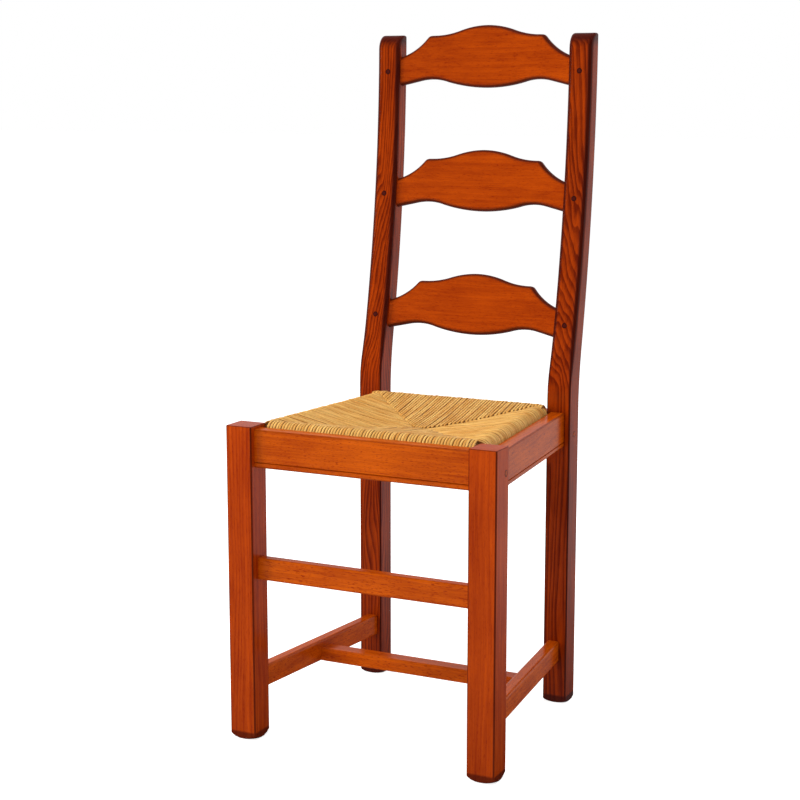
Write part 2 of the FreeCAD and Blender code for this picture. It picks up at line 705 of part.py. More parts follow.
pieces = build()
back = max(shape.optimalBoundingBox(False).YMax for shape in pieces.values())
for node, shape in pieces.items():
    shape.translate(V(0, -back / 2, 0))
    shape.exportStep("parts/" + node + ".step")
    print(node, len(shape.Solids), round(shape.Volume), shape.isValid())
print("back of the chair from the front legs' face", round(back, 2))
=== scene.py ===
import logging
import math
import random
from dataclasses import dataclass, field
from enum import Enum
from typing import Callable, Iterable, Sequence

import bmesh
import bpy
from bmesh.types import BMesh, BMFace, BMVert
from bpy.types import NodeSocket as Socket, Object
from mathutils import Matrix, Vector


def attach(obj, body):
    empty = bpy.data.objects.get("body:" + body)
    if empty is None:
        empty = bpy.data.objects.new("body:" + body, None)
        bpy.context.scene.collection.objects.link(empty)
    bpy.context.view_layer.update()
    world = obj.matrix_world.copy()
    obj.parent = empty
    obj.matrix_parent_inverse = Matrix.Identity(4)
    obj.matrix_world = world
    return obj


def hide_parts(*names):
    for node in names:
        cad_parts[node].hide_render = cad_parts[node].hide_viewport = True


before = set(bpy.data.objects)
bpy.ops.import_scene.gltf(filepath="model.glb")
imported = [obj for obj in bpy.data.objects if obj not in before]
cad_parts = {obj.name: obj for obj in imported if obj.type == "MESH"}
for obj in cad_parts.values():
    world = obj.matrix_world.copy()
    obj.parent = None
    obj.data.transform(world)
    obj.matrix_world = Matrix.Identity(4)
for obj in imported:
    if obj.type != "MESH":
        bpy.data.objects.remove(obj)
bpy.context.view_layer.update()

log = logging.getLogger("ladderback_chair")

Colour = tuple[float, float, float, float]
Point = tuple[float, float, float]
Pair = tuple[float, float]

# Lengths are metres. X runs to the right seen from the front, Y to the back, Z up.
# DEPTH_ORIGIN is the distance from the front legs' faces to the middle of the chair's depth.
DEPTH_ORIGIN = 0.21985
BODY = "root"
# A leg's section has this many points. A quarter of them gives its first third to one side, the next to the
# round corner and the last to the next side. The nudge keeps a quarter's first point out of the quarter before.
ROUND_SEGMENTS = 48
THIRDS = 3.0
NUDGE = 1e-6
# The stain on a round corner is full where the product of its normal's X and Y is a quarter.
CORNER_STAIN_RISE = 4.0
# Points this near to each other are one, and points this near to a cutting plane are on it.
SAME_POINT = 0.00001
ON_PLANE = 0.00002
WHITE, BLACK = (1.0, 1.0, 1.0, 1.0), (0.0, 0.0, 0.0, 1.0)
# Nearly all values of a noise lie in this range.
NOISE_RANGE = (0.2, 0.8)


class GrainAxis(Enum):
    """The way a piece's grain runs: the turn that lays it along X, and its direction."""

    ACROSS = ((0.0, 0.0, 0.0), (1.0, 0.0, 0.0))
    DEEP = ((0.0, 0.0, -math.pi / 2), (0.0, 1.0, 0.0))
    UPRIGHT = ((0.0, math.pi / 2, 0.0), (0.0, 0.0, 1.0))


class Side(Enum):
    """The four edges of the seat."""

    FRONT = "front"
    REAR = "rear"
    RIGHT = "right"
    LEFT = "left"


# Node trees


class NodeBench:
    """Adds and links the nodes of one node tree."""

    def __init__(self, tree: bpy.types.NodeTree) -> None:
        """Keep the tree that the nodes go into.

        Args:
            tree: The node tree to work on.
        """
        self.tree = tree

    def add(self, kind: str, **settings: object) -> bpy.types.Node:
        """Add a node.

        Args:
            kind: The node's type name.
            settings: Properties to set on the node.

        Returns:
            The new node.
        """
        node = self.tree.nodes.new(kind)
        for name, value in settings.items():
            setattr(node, name, value)
        return node

    def link(self, source: Socket, target: Socket) -> None:
        """Join an output to an input."""
        self.tree.links.new(source, target)

    def feed(self, socket: Socket, value: object) -> None:
        """Set an input to a constant, or link it to an output.

        Args:
            socket: The input socket.
            value: A number, a colour, a vector or an output socket.
        """
        if isinstance(value, Socket):
            self.link(value, socket)
        else:
            socket.default_value = value

    def maths(self, operation: str, first: object, second: object = 0.0, clamp: bool = False) -> Socket:
        """Add a Math node.

        Args:
            operation: The Math node's operation.
            first: The first number or output.
            second: The second number or output.
            clamp: Whether the result stays between 0 and 1.

        Returns:
            The result's socket.
        """
        node = self.add("ShaderNodeMath", operation=operation, use_clamp=clamp)
        self.feed(node.inputs[0], first)
        self.feed(node.inputs[1], second)
        return node.outputs[0]

    def vector(self, operation: str, first: object, second: object) -> Socket:
        """Add a Vector Math node.

        Args:
            operation: The Vector Math node's operation.
            first: The first vector or output.
            second: The second vector or output.

        Returns:
            The result's vector socket.
        """
        node = self.add("ShaderNodeVectorMath", operation=operation)
        self.feed(node.inputs[0], first)
        self.feed(node.inputs[1], second)
        return node.outputs[0]

    def noise(self, place: Socket, stretch: Sequence[float], detail: float = 2.0,
              roughness: float = 0.5) -> bpy.types.Node:
        """Add a noise texture whose cells per metre differ along each axis.

        Args:
            place: The output that gives the point.
            stretch: Cells per metre along each axis.
            detail: The noise's detail.
            roughness: The noise's roughness.

        Returns:
            The noise node.
        """
        node = self.add("ShaderNodeTexNoise")
        self.link(self.vector("MULTIPLY", place, tuple(stretch)), node.inputs["Vector"])
        node.inputs["Scale"].default_value = 1.0
        node.inputs["Detail"].default_value = detail
        node.inputs["Roughness"].default_value = roughness
        return node

    def spread(self, value: object, low: float, high: float, to_low: float = 0.0,
               to_high: float = 1.0) -> Socket:
        """Add a smooth Map Range node.

        Args:
            value: The number or output to map.
            low: The value that becomes to_low.
            high: The value that becomes to_high.
            to_low: The result at low.
            to_high: The result at high.

        Returns:
            The mapped value's socket.
        """
        node = self.add("ShaderNodeMapRange", interpolation_type="SMOOTHSTEP")
        for name, number in zip(("Value", "From Min", "From Max", "To Min", "To Max"),
                                (value, low, high, to_low, to_high)):
            self.feed(node.inputs[name], number)
        return node.outputs["Result"]

    def mix(self, share: object, first: object, second: object, blend: str = "MIX") -> Socket:
        """Add a colour Mix node.

        Args:
            share: How much of the second colour shows.
            first: The first colour or output.
            second: The second colour or output.
            blend: The blend type.

        Returns:
            The mixed colour's socket.
        """
        node = self.add("ShaderNodeMix", data_type="RGBA", blend_type=blend)
        for socket, value in zip((node.inputs[0], node.inputs[6], node.inputs[7]), (share, first, second)):
            self.feed(socket, value)
        return node.outputs[2]

    def axes(self, vector: Socket) -> bpy.types.NodeOutputs:
        """Split a vector.

        Args:
            vector: The vector's output.

        Returns:
            The sockets of its X, Y and Z.
        """
        node = self.add("ShaderNodeSeparateXYZ")
        self.link(vector, node.inputs[0])
        return node.outputs

    def attribute(self, name: str, output: str = "Fac") -> Socket:
        """Return the output of a vertex attribute."""
        return self.add("ShaderNodeAttribute", attribute_name=name).outputs[output]

    def bump(self, height: Socket, distance: float, shader: bpy.types.Node) -> None:
        """Raise a shader's surface by a pattern.

        Args:
            height: The pattern's output.
            distance: The pattern's height in metres.
            shader: The shader that takes the normal.
        """
        node = self.add("ShaderNodeBump")
        node.inputs["Distance"].default_value = distance
        self.link(height, node.inputs["Height"])
        self.link(node.outputs["Normal"], shader.inputs["Normal"])


def colour(red: float, green: float, blue: float) -> Colour:
    """Return a linear colour from screen values between 0 and 255.

    Args:
        red: The red screen value.
        green: The green screen value.
        blue: The blue screen value.

    Returns:
        The linear colour with full alpha.
    """
    def linear(value: float) -> float:
        """Return one channel's linear value."""
        share = value / 255.0
        return share / 12.92 if share <= 0.04045 else ((share + 0.055) / 1.055) ** 2.4
    return (linear(red), linear(green), linear(blue), 1.0)


class EffectGroup:
    """A shader node group that is built once and placed in each material that needs it."""

    name = ""
    inputs: Sequence[tuple[str, str, object]] = ()
    outputs: Sequence[tuple[str, str]] = ()

    def tree(self) -> bpy.types.NodeTree:
        """Return the group's node tree, building it the first time.

        Returns:
            The shader node tree.
        """
        found = bpy.data.node_groups.get(self.name)
        if found:
            return found
        tree = bpy.data.node_groups.new(self.name, "ShaderNodeTree")
        for label, kind, start in self.inputs:
            socket = tree.interface.new_socket(label, in_out="INPUT", socket_type=kind)
            if start is not None:
                socket.default_value = start
        for label, kind in self.outputs:
            tree.interface.new_socket(label, in_out="OUTPUT", socket_type=kind)
        bench = NodeBench(tree)
        source = bench.add("NodeGroupInput").outputs
        target = bench.add("NodeGroupOutput").inputs
        self.fill(bench, source, target)
        return tree

    def fill(self, bench: NodeBench, source: object, target: object) -> None:
        """Build the nodes between the group's inputs and outputs."""
        raise NotImplementedError

    def place(self, bench: NodeBench, **values: object) -> bpy.types.Node:
        """Place the group in a material.

        Args:
            bench: The material's nodes.
            values: The group's inputs, with spaces in their names as underscores.

        Returns:
            The group node.
        """
        node = bench.add("ShaderNodeGroup", node_tree=self.tree())
        for label, value in values.items():
            bench.feed(node.inputs[label.replace("_", " ")], value)
        return node


FLOAT, VECTOR, COLOUR = "NodeSocketFloat", "NodeSocketVector", "NodeSocketColor"


class GrainGroup(EffectGroup):
    """Year rings, fibres, flecks and uneven stain of a board whose grain runs along X."""

    name = "stained_grain"
    inputs = (
        ("Place", VECTOR, None), ("Pale", COLOUR, None), ("Deep", COLOUR, None),
        ("Ring Width", FLOAT, 0.004), ("Ring Share", FLOAT, 0.4), ("Figure", FLOAT, 0.006),
        ("Fleck Share", FLOAT, 0.5), ("Mottle Share", FLOAT, 0.4),
    )
    outputs = (("Colour", COLOUR), ("Roughness", FLOAT), ("Height", FLOAT))

    # Each pattern's cells per metre, the range of its noise that shows, and its share.
    RING_CENTRE = (0.0, 0.031, 0.047)
    SWAY_CELLS = (2.6, 14.0, 14.0)
    YEAR_CELLS = (0.9, 60.0, 60.0)
    FIBRE_CELLS = (22.0, 620.0, 620.0)
    STREAK_CELLS = (5.0, 130.0, 130.0)
    FLECK_CELLS = (160.0, 1100.0, 1100.0)
    MOTTLE_CELLS = (11.0, 26.0, 26.0)
    YEAR_SHIFT = 2.4
    LATE_WOOD, NEXT_SPRING = (0.15, 0.88), (0.92, 1.0)
    FLECKS, MOTTLES, STREAKS, FIBRES = (0.58, 0.72), (0.3, 0.7), (0.36, 0.68), (0.3, 0.75)
    STREAK_SHARE, FIBRE_SHARE = 0.24, 0.26
    LEAST_ROUGHNESS, FIBRE_ROUGHNESS, MOTTLE_ROUGHNESS = 0.3, 0.14, 0.08
    FLECK_DEPTH, RING_DEPTH = 0.6, 0.3

    def fill(self, bench: NodeBench, source: object, target: object) -> None:
        """Build the grain.

        Args:
            bench: The group's nodes.
            source: The group's input sockets.
            target: The group's output sockets.
        """
        place = source["Place"]
        sway = bench.noise(place, self.SWAY_CELLS, 2.0)
        centred = bench.vector("SUBTRACT", sway.outputs["Color"], (0.5, 0.5, 0.5))
        swayed = bench.vector("ADD", place, bench.vector("MULTIPLY", centred, source["Figure"]))
        ring_point = bench.vector("MULTIPLY", bench.vector("ADD", swayed, self.RING_CENTRE), (0.0, 1.0, 1.0))
        radius = bench.add("ShaderNodeVectorMath", operation="LENGTH")
        bench.link(ring_point, radius.inputs[0])
        years = bench.noise(swayed, self.YEAR_CELLS, 1.0).outputs["Fac"]
        turns = bench.maths("ADD", bench.maths("DIVIDE", radius.outputs["Value"], source["Ring Width"]),
                            bench.maths("MULTIPLY", years, self.YEAR_SHIFT))
        phase = bench.maths("FRACT", turns)
        late = bench.spread(phase, *self.LATE_WOOD)
        rings = bench.maths("MULTIPLY", late, bench.spread(phase, *self.NEXT_SPRING, 1.0, 0.0))

        fibre = bench.noise(place, self.FIBRE_CELLS, 3.0, 0.6).outputs["Fac"]
        streak = bench.noise(swayed, self.STREAK_CELLS, 3.0, 0.6).outputs["Fac"]
        fleck = bench.spread(bench.noise(place, self.FLECK_CELLS, 1.0).outputs["Fac"], *self.FLECKS)
        mottle = bench.spread(bench.noise(place, self.MOTTLE_CELLS, 4.0, 0.6).outputs["Fac"], *self.MOTTLES)

        tone = bench.maths("MULTIPLY", rings, source["Ring Share"])
        for pattern, share in ((mottle, source["Mottle Share"]),
                               (bench.spread(streak, *self.STREAKS), self.STREAK_SHARE),
                               (bench.spread(fibre, *self.FIBRES), self.FIBRE_SHARE),
                               (fleck, source["Fleck Share"])):
            tone = bench.maths("ADD", tone, bench.maths("MULTIPLY", pattern, share), clamp=True)
        bench.link(bench.mix(tone, source["Pale"], source["Deep"]), target["Colour"])
        rough = bench.maths("ADD", bench.maths("MULTIPLY", fibre, self.FIBRE_ROUGHNESS),
                            bench.maths("MULTIPLY", mottle, self.MOTTLE_ROUGHNESS))
        bench.link(bench.maths("ADD", rough, self.LEAST_ROUGHNESS), target["Roughness"])
        pores = bench.maths("ADD", bench.maths("MULTIPLY", fleck, -self.FLECK_DEPTH), fibre)
        bench.link(bench.maths("ADD", bench.maths("MULTIPLY", rings, -self.RING_DEPTH), pores), target["Height"])


class StainGroup(EffectGroup):
    """Stain that gathers on rounded edges and soaks into end grain."""

    name = "gathered_stain"
    inputs = (("Colour", COLOUR, None), ("Facing", VECTOR, None), ("Grain", VECTOR, None), ("Rim", FLOAT, 0.0),
              ("Turned Share", FLOAT, 1.0), ("Dark", COLOUR, None), ("Edge Share", FLOAT, 0.5),
              ("End Share", FLOAT, 0.6))
    outputs = (("Colour", COLOUR),)

    # The ranges, of a normal's largest part and of its part along the grain, in which the stain gathers.
    TURNED, END_GRAIN = (0.78, 0.985), (0.28, 0.8)

    def fill(self, bench: NodeBench, source: object, target: object) -> None:
        """Build the edge and end-grain masks and darken the colour with them.

        Args:
            bench: The group's nodes.
            source: The group's input sockets.
            target: The group's output sockets.
        """
        size = bench.add("ShaderNodeVectorMath", operation="ABSOLUTE")
        bench.link(source["Facing"], size.inputs[0])
        parts = bench.axes(size.outputs[0])
        largest = bench.maths("MAXIMUM", parts["X"], bench.maths("MAXIMUM", parts["Y"], parts["Z"]))
        turned = bench.maths("MULTIPLY", bench.spread(largest, *self.TURNED, 1.0, 0.0), source["Turned Share"])
        edge = bench.maths("MULTIPLY", bench.maths("MAXIMUM", turned, source["Rim"]), source["Edge Share"])
        along = bench.add("ShaderNodeVectorMath", operation="DOT_PRODUCT")
        bench.link(source["Facing"], along.inputs[0])
        bench.link(source["Grain"], along.inputs[1])
        steep = bench.maths("ABSOLUTE", along.outputs["Value"])
        end = bench.maths("MULTIPLY", bench.spread(steep, *self.END_GRAIN), source["End Share"])
        mask = bench.maths("MAXIMUM", edge, end)
        bench.link(bench.mix(mask, source["Colour"], source["Dark"]), target["Colour"])


class RushFibreGroup(EffectGroup):
    """Twisted rush leaf: fibres that follow each cord, with pale and green leaves and painted shade between the
    cords.
    """

    name = "rush_fibres"
    inputs = (("Section", VECTOR, None), ("Cord", FLOAT, 0.5), ("Pale", COLOUR, None), ("Deep", COLOUR, None),
              ("Green", COLOUR, None), ("Gap", FLOAT, 0.0), ("Shade", COLOUR, None))
    outputs = (("Colour", COLOUR), ("Roughness", FLOAT), ("Height", FLOAT))

    FIBRE_CELLS = (2.6, 2.6, 14.0)
    LEAF_CELLS = (0.8, 0.8, 9.0)
    # How far one cord's pattern is from the next one's, and the ranges and shares of each effect.
    CORD_SHIFT = 57.0
    FIBRES, LEAVES, GREEN_CORDS, GAPS = (0.34, 0.68), (0.35, 0.65), (0.72, 1.0), (0.12, 0.56)
    FIBRE_SHARE, GREEN_SHARE, GAP_SHARE = 0.3, 0.4, 0.9
    LEAST_ROUGHNESS, FIBRE_ROUGHNESS = 0.38, 0.3

    def fill(self, bench: NodeBench, source: object, target: object) -> None:
        """Build the fibres.

        Args:
            bench: The group's nodes.
            source: The group's input sockets.
            target: The group's output sockets.
        """
        shift = bench.add("ShaderNodeCombineXYZ")
        bench.link(bench.maths("MULTIPLY", source["Cord"], self.CORD_SHIFT), shift.inputs["Z"])
        place = bench.vector("ADD", source["Section"], shift.outputs[0])
        fibre = bench.noise(place, self.FIBRE_CELLS, 3.0, 0.6).outputs["Fac"]
        leaf = bench.noise(place, self.LEAF_CELLS, 2.0).outputs["Fac"]
        fibre_mask = bench.spread(fibre, *self.FIBRES)
        base = bench.mix(bench.spread(leaf, *self.LEAVES), source["Pale"], source["Deep"])
        green_share = bench.maths("MULTIPLY", bench.spread(source["Cord"], *self.GREEN_CORDS), self.GREEN_SHARE)
        base = bench.mix(green_share, base, source["Green"])
        lined = bench.mix(bench.maths("MULTIPLY", fibre_mask, self.FIBRE_SHARE), base, source["Deep"])
        # Painted shade: each cord's sides, where it meets the next cord, darken towards the shade colour.
        gap = bench.spread(source["Gap"], *self.GAPS, 0.0, self.GAP_SHARE)
        bench.link(bench.mix(gap, lined, source["Shade"]), target["Colour"])
        rough = bench.maths("ADD", bench.maths("MULTIPLY", fibre, self.FIBRE_ROUGHNESS), self.LEAST_ROUGHNESS)
        bench.link(rough, target["Roughness"])
        bench.link(bench.maths("MULTIPLY", fibre_mask, -1.0), target["Height"])


GRAIN = GrainGroup()
STAIN = StainGroup()
RUSH_FIBRE = RushFibreGroup()


# Finishes


def new_material(name: str) -> tuple[bpy.types.Material, NodeBench, bpy.types.Node]:
    """Make an empty material with its shader.

    Args:
        name: The material's name.

    Returns:
        The material, its nodes and its Principled shader.
    """
    material = bpy.data.materials.new(name)
    material.use_nodes = True
    return material, NodeBench(material.node_tree), material.node_tree.nodes["Principled BSDF"]


@dataclass(frozen=True)
class StainedWood:
    """Lacquered wood with a red-brown stain, whose grain runs along one axis."""

    name: str
    axis: GrainAxis
    shift: Point = (0.0, 0.0, 0.0)
    pale: Colour = colour(204, 78, 4)
    deep: Colour = colour(146, 40, 3)
    dark: Colour = colour(62, 14, 8)
    ring_width: float = 0.0055
    ring_share: float = 0.2
    figure: float = 0.012
    fleck_share: float = 0.3
    mottle_share: float = 0.3
    turned_share: float = 0.0
    edge_share: float = 0.8
    end_share: float = 0.8
    bump: float = 0.00005
    coat: float = 0.5
    coat_roughness: float = 0.2

    def build(self) -> bpy.types.Material:
        """Build the material.

        Returns:
            The stained and lacquered material.
        """
        material, bench, shader = new_material(self.name)
        place = bench.add("ShaderNodeTexCoord")
        turn = bench.add("ShaderNodeMapping")
        bench.link(place.outputs["Object"], turn.inputs["Vector"])
        rotation, along = self.axis.value
        turn.inputs["Rotation"].default_value = rotation
        turn.inputs["Location"].default_value = self.shift
        grain = GRAIN.place(bench, Place=turn.outputs["Vector"], Pale=self.pale, Deep=self.deep,
                            Ring_Width=self.ring_width, Ring_Share=self.ring_share, Figure=self.figure,
                            Fleck_Share=self.fleck_share, Mottle_Share=self.mottle_share)
        stain = STAIN.place(bench, Colour=grain.outputs["Colour"], Facing=place.outputs["Normal"], Grain=along,
                            Rim=bench.attribute("rim"), Turned_Share=self.turned_share, Dark=self.dark,
                            Edge_Share=self.edge_share, End_Share=self.end_share)
        bench.link(stain.outputs["Colour"], shader.inputs["Base Color"])
        bench.link(grain.outputs["Roughness"], shader.inputs["Roughness"])
        bench.bump(grain.outputs["Height"], self.bump, shader)
        shader.inputs["Coat Weight"].default_value = self.coat
        shader.inputs["Coat Roughness"].default_value = self.coat_roughness
        shader.inputs["Specular IOR Level"].default_value = 0.0
        return material


@dataclass(frozen=True)
class PegWood:
    """Dowel end grain, darkest round its rim where stain gathers."""

    name: str
    middle: Colour
    rim: Colour = colour(34, 6, 4)
    speckle_cells: float = 1900.0
    speckles: Pair = (0.35, 0.75)
    speckle_share: float = 0.5
    roughness: Pair = (0.45, 0.7)
    specular: float = 0.25
    bump: float = 0.00008

    def build(self) -> bpy.types.Material:
        """Build the material.

        Returns:
            The peg's material.
        """
        material, bench, shader = new_material(self.name)
        place = bench.add("ShaderNodeTexCoord")
        speckle = bench.noise(place.outputs["Object"], (self.speckle_cells,) * 3, 2.0).outputs["Fac"]
        shown = bench.spread(speckle, *self.speckles, 0.0, self.speckle_share)
        base = bench.mix(shown, self.middle, self.rim)
        bench.link(bench.mix(bench.attribute("rim"), base, self.rim), shader.inputs["Base Color"])
        bench.link(bench.spread(speckle, *NOISE_RANGE, *self.roughness), shader.inputs["Roughness"])
        bench.bump(speckle, self.bump, shader)
        shader.inputs["Specular IOR Level"].default_value = self.specular
        return material


@dataclass(frozen=True)
class Rush:
    """Dried rush, golden with pale and brown leaves."""

    name: str = "woven_rush"
    pale: Colour = colour(252, 204, 116)
    deep: Colour = colour(222, 156, 70)
    green: Colour = colour(220, 176, 92)
    # The colour of the painted shade between the cords.
    shade: Colour = colour(126, 66, 18)
    specular: float = 0.45
    bump: float = 0.0003

    def build(self) -> bpy.types.Material:
        """Build the material.

        Returns:
            The rush's material.
        """
        material, bench, shader = new_material(self.name)
        # The gap attribute marks each cord's sides, where the fibre group paints shade between the cords.
        fibres = RUSH_FIBRE.place(bench, Section=bench.attribute("section", "Vector"), Cord=bench.attribute("cord"),
                                  Pale=self.pale, Deep=self.deep, Green=self.green, Gap=bench.attribute("gap"),
                                  Shade=self.shade)
        bench.link(fibres.outputs["Colour"], shader.inputs["Base Color"])
        bench.link(fibres.outputs["Roughness"], shader.inputs["Roughness"])
        bench.bump(fibres.outputs["Height"], self.bump, shader)
        shader.inputs["Specular IOR Level"].default_value = self.specular
        return material


@dataclass(frozen=True)
class ScrewSteel:
    """Zinc-plated screw steel with a worn surface."""

    name: str
    bright: Colour = colour(205, 200, 188)
    worn: Colour = colour(150, 148, 142)
    wear_cells: float = 900.0
    roughness: Pair = (0.25, 0.5)

    def build(self) -> bpy.types.Material:
        """Build the material.

        Returns:
            The screws' material.
        """
        material, bench, shader = new_material(self.name)
        place = bench.add("ShaderNodeTexCoord")
        wear = bench.noise(place.outputs["Object"], (self.wear_cells,) * 3, 3.0).outputs["Fac"]
        bench.link(bench.mix(wear, self.bright, self.worn), shader.inputs["Base Color"])
        bench.link(bench.spread(wear, *NOISE_RANGE, *self.roughness), shader.inputs["Roughness"])
        shader.inputs["Metallic"].default_value = 1.0
        return material


# Meshes


def put_in_scene(name: str, data: bpy.types.ID) -> Object:
    """Make an object and link it to the scene.

    Args:
        name: The object's name.
        data: Its mesh, camera or light.

    Returns:
        The object.
    """
    made = bpy.data.objects.new(name, data)
    bpy.context.scene.collection.objects.link(made)
    return made


def make_piece(bm: BMesh, name: str, material: bpy.types.Material, nodes: Iterable[str],
               crease: float = math.radians(35)) -> Object:
    """Turn a bmesh into a piece that rides on the chair's body and stands for its nodes.

    Args:
        bm: The bmesh, which is freed.
        name: The piece's name.
        material: The piece's material.
        nodes: The CAD nodes that the piece stands for.
        crease: The angle between two faces above which their edge stays sharp.

    Returns:
        The piece.
    """
    bmesh.ops.recalc_face_normals(bm, faces=bm.faces)
    mesh = bpy.data.meshes.new(name)
    bm.to_mesh(mesh)
    bm.free()
    mesh.shade_smooth()
    mesh.set_sharp_from_angle(angle=crease)
    mesh.materials.append(material)
    piece = put_in_scene(name, mesh)
    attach(piece, BODY)
    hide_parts(*nodes)
    log.info("piece %s: %d faces", name, len(mesh.polygons))
    return piece


def weigh_normals(piece: Object) -> None:
    """Let a piece's large flat faces set its shading, so that only its round edges turn."""
    modifier = piece.modifiers.new("flat faces", "WEIGHTED_NORMAL")
    modifier.keep_sharp = True


def circle_through(first: Vector, second: Vector, third: Vector) -> tuple[Vector, float]:
    """Return the circle through three points of a plane.

    Args:
        first: A point.
        second: A point.
        third: A point.

    Returns:
        The circle's centre and radius.
    """
    a, b = second - first, third - first
    cross = 2.0 * (a.x * b.y - a.y * b.x)
    offset = Vector((b.y * a.length_squared - a.y * b.length_squared,
                     a.x * b.length_squared - b.x * a.length_squared)) / cross
    return first + offset, offset.length


@dataclass(frozen=True)
class Level:
    """One horizontal section of a leg: its height, limits, corner rounding, greatest radius and how dark its rim
    is, from stain on the edges and, on the rear posts' tops, from painted shade as well.
    """

    z: float
    x: Pair
    y: Pair
    front_round: float
    back_round: float
    reach: float = math.inf
    stain: float = 0.0
    corner_stain: float = 1.0


def section_home(angle: float) -> tuple[Vector, Vector]:
    """Say where a point of a round section goes on a square one with round corners.

    Args:
        angle: The point's angle on the round section.

    Returns:
        The point's place on the square of the corners' centres, between -1 and 1, and its direction from there.
    """
    quarter = math.pi / 2
    turns, rest = divmod(angle + NUDGE, quarter)
    share = THIRDS * rest / quarter
    if share < 1.0:
        centre, normal = Vector((1.0, share, 0.0)), Vector((1.0, 0.0, 0.0))
    elif share <= 2.0:
        bend = (share - 1.0) * quarter
        centre, normal = Vector((1.0, 1.0, 0.0)), Vector((math.cos(bend), math.sin(bend), 0.0))
    else:
        centre, normal = Vector((THIRDS - share, 1.0, 0.0)), Vector((0.0, 1.0, 0.0))
    turn = Matrix.Rotation(turns * quarter, 3, "Z")
    return turn @ centre, turn @ normal


def raise_face(bm: BMesh, face: BMFace, first: bool) -> BMFace:
    """Extrude a section's face. The face itself stays only where it closes the start of a leg or cord.

    Args:
        bm: The bmesh.
        face: The face to extrude.
        first: Whether the face is the first one.

    Returns:
        The new face.
    """
    made = bmesh.ops.extrude_face_region(bm, geom=[face])["geom"]
    if not first:
        bmesh.ops.delete(bm, geom=[face], context="FACES_ONLY")
    return next(item for item in made if isinstance(item, BMFace))


def raise_leg(levels: Sequence[Level]) -> BMesh:
    """Extrude a leg through its levels, from the floor up.

    Args:
        levels: The leg's sections, lowest first.

    Returns:
        The leg as a closed bmesh.
    """
    bm = bmesh.new()
    bmesh.ops.create_circle(bm, cap_ends=True, segments=ROUND_SEGMENTS, radius=1.0)
    centres = bm.verts.layers.float_vector.new("centre")
    normals = bm.verts.layers.float_vector.new("normal")
    rim = bm.verts.layers.float.new("rim")
    for vert in bm.verts:
        home = section_home(math.atan2(vert.co.y, vert.co.x) % (2 * math.pi))
        vert[centres], vert[normals] = home
    top = bm.faces[:][0]
    for number, level in enumerate(levels):
        if number:
            top = raise_face(bm, top, number == 1)
        middle = Vector((sum(level.x) / 2, sum(level.y) / 2, level.z))
        half = Vector((level.x[1] - level.x[0], level.y[1] - level.y[0])) / 2
        for vert in top.verts:
            centre, normal = vert[centres], vert[normals]
            radius = level.front_round if centre.y < 0 else level.back_round
            offset = Vector((centre.x * (half.x - radius), centre.y * (half.y - radius), 0.0)) + normal * radius
            offset *= min(1.0, level.reach / offset.length)
            vert.co = middle + offset
            turned = min(1.0, CORNER_STAIN_RISE * abs(normal.x * normal.y))
            vert[rim] = max(level.stain, level.corner_stain * turned)
    for layer in (centres, normals):
        bm.verts.layers.float_vector.remove(layer)
    return bm


def across(side: int, inner: float, outer: float) -> Pair:
    """Return the limits in X, lowest first, of a leg whose faces are so far from the chair's middle."""
    return (min(side * inner, side * outer), max(side * inner, side * outer))


@dataclass(frozen=True)
class TurnedFoot:
    """The dome with a flat middle that every leg ends in, darkened below its shoulder."""

    flat_radius: float = 0.015
    shoulder_radius: float = 0.030
    height: float = 0.013
    bulge: float = 0.0026
    steps: int = 7
    shoulder_dark: float = 0.3

    def rims(self) -> list[Pair]:
        """Return the dome's radius and height at each step.

        Returns:
            Pairs of radius and height, from the floor up.
        """
        low = Vector((self.flat_radius, 0.0))
        high = Vector((self.shoulder_radius, self.height))
        middle = (low + high) / 2 + Vector((self.bulge, -self.bulge))
        centre, radius = circle_through(low, middle, high)
        start = math.atan2(*reversed(low - centre))
        end = math.atan2(*reversed(high - centre))
        angles = [start + (end - start) * step / self.steps for step in range(self.steps + 1)]
        return [(centre.x + radius * math.cos(a), max(0.0, centre.y + radius * math.sin(a))) for a in angles]

    def levels(self, x: Pair, depths: Callable[[float], Pair], front_edge: float, back_edge: float) -> list[Level]:
        """Return the foot's sections.

        Args:
            x: The leg's limits in X.
            depths: Gives the leg's limits in Y at a height.
            front_edge: The rounding of the leg's front edges.
            back_edge: The rounding of its back edges.

        Returns:
            The sections, lowest first.
        """
        # The dome is fully darkened below its shoulder and by shoulder_dark at it.
        dark_shares = [1.0] * self.steps + [self.shoulder_dark]
        return [Level(z, x, depths(z), front_edge, back_edge, radius, stain)
                for (radius, z), stain in zip(self.rims(), dark_shares)]


@dataclass(frozen=True)
class GrainCut:
    """One leg of a pair: its side, its name, the part of the pattern it is cut from, and its year rings."""

    side: int
    name: str
    shift: Point
    ring_share: float
    ring_width: float
    figure: float


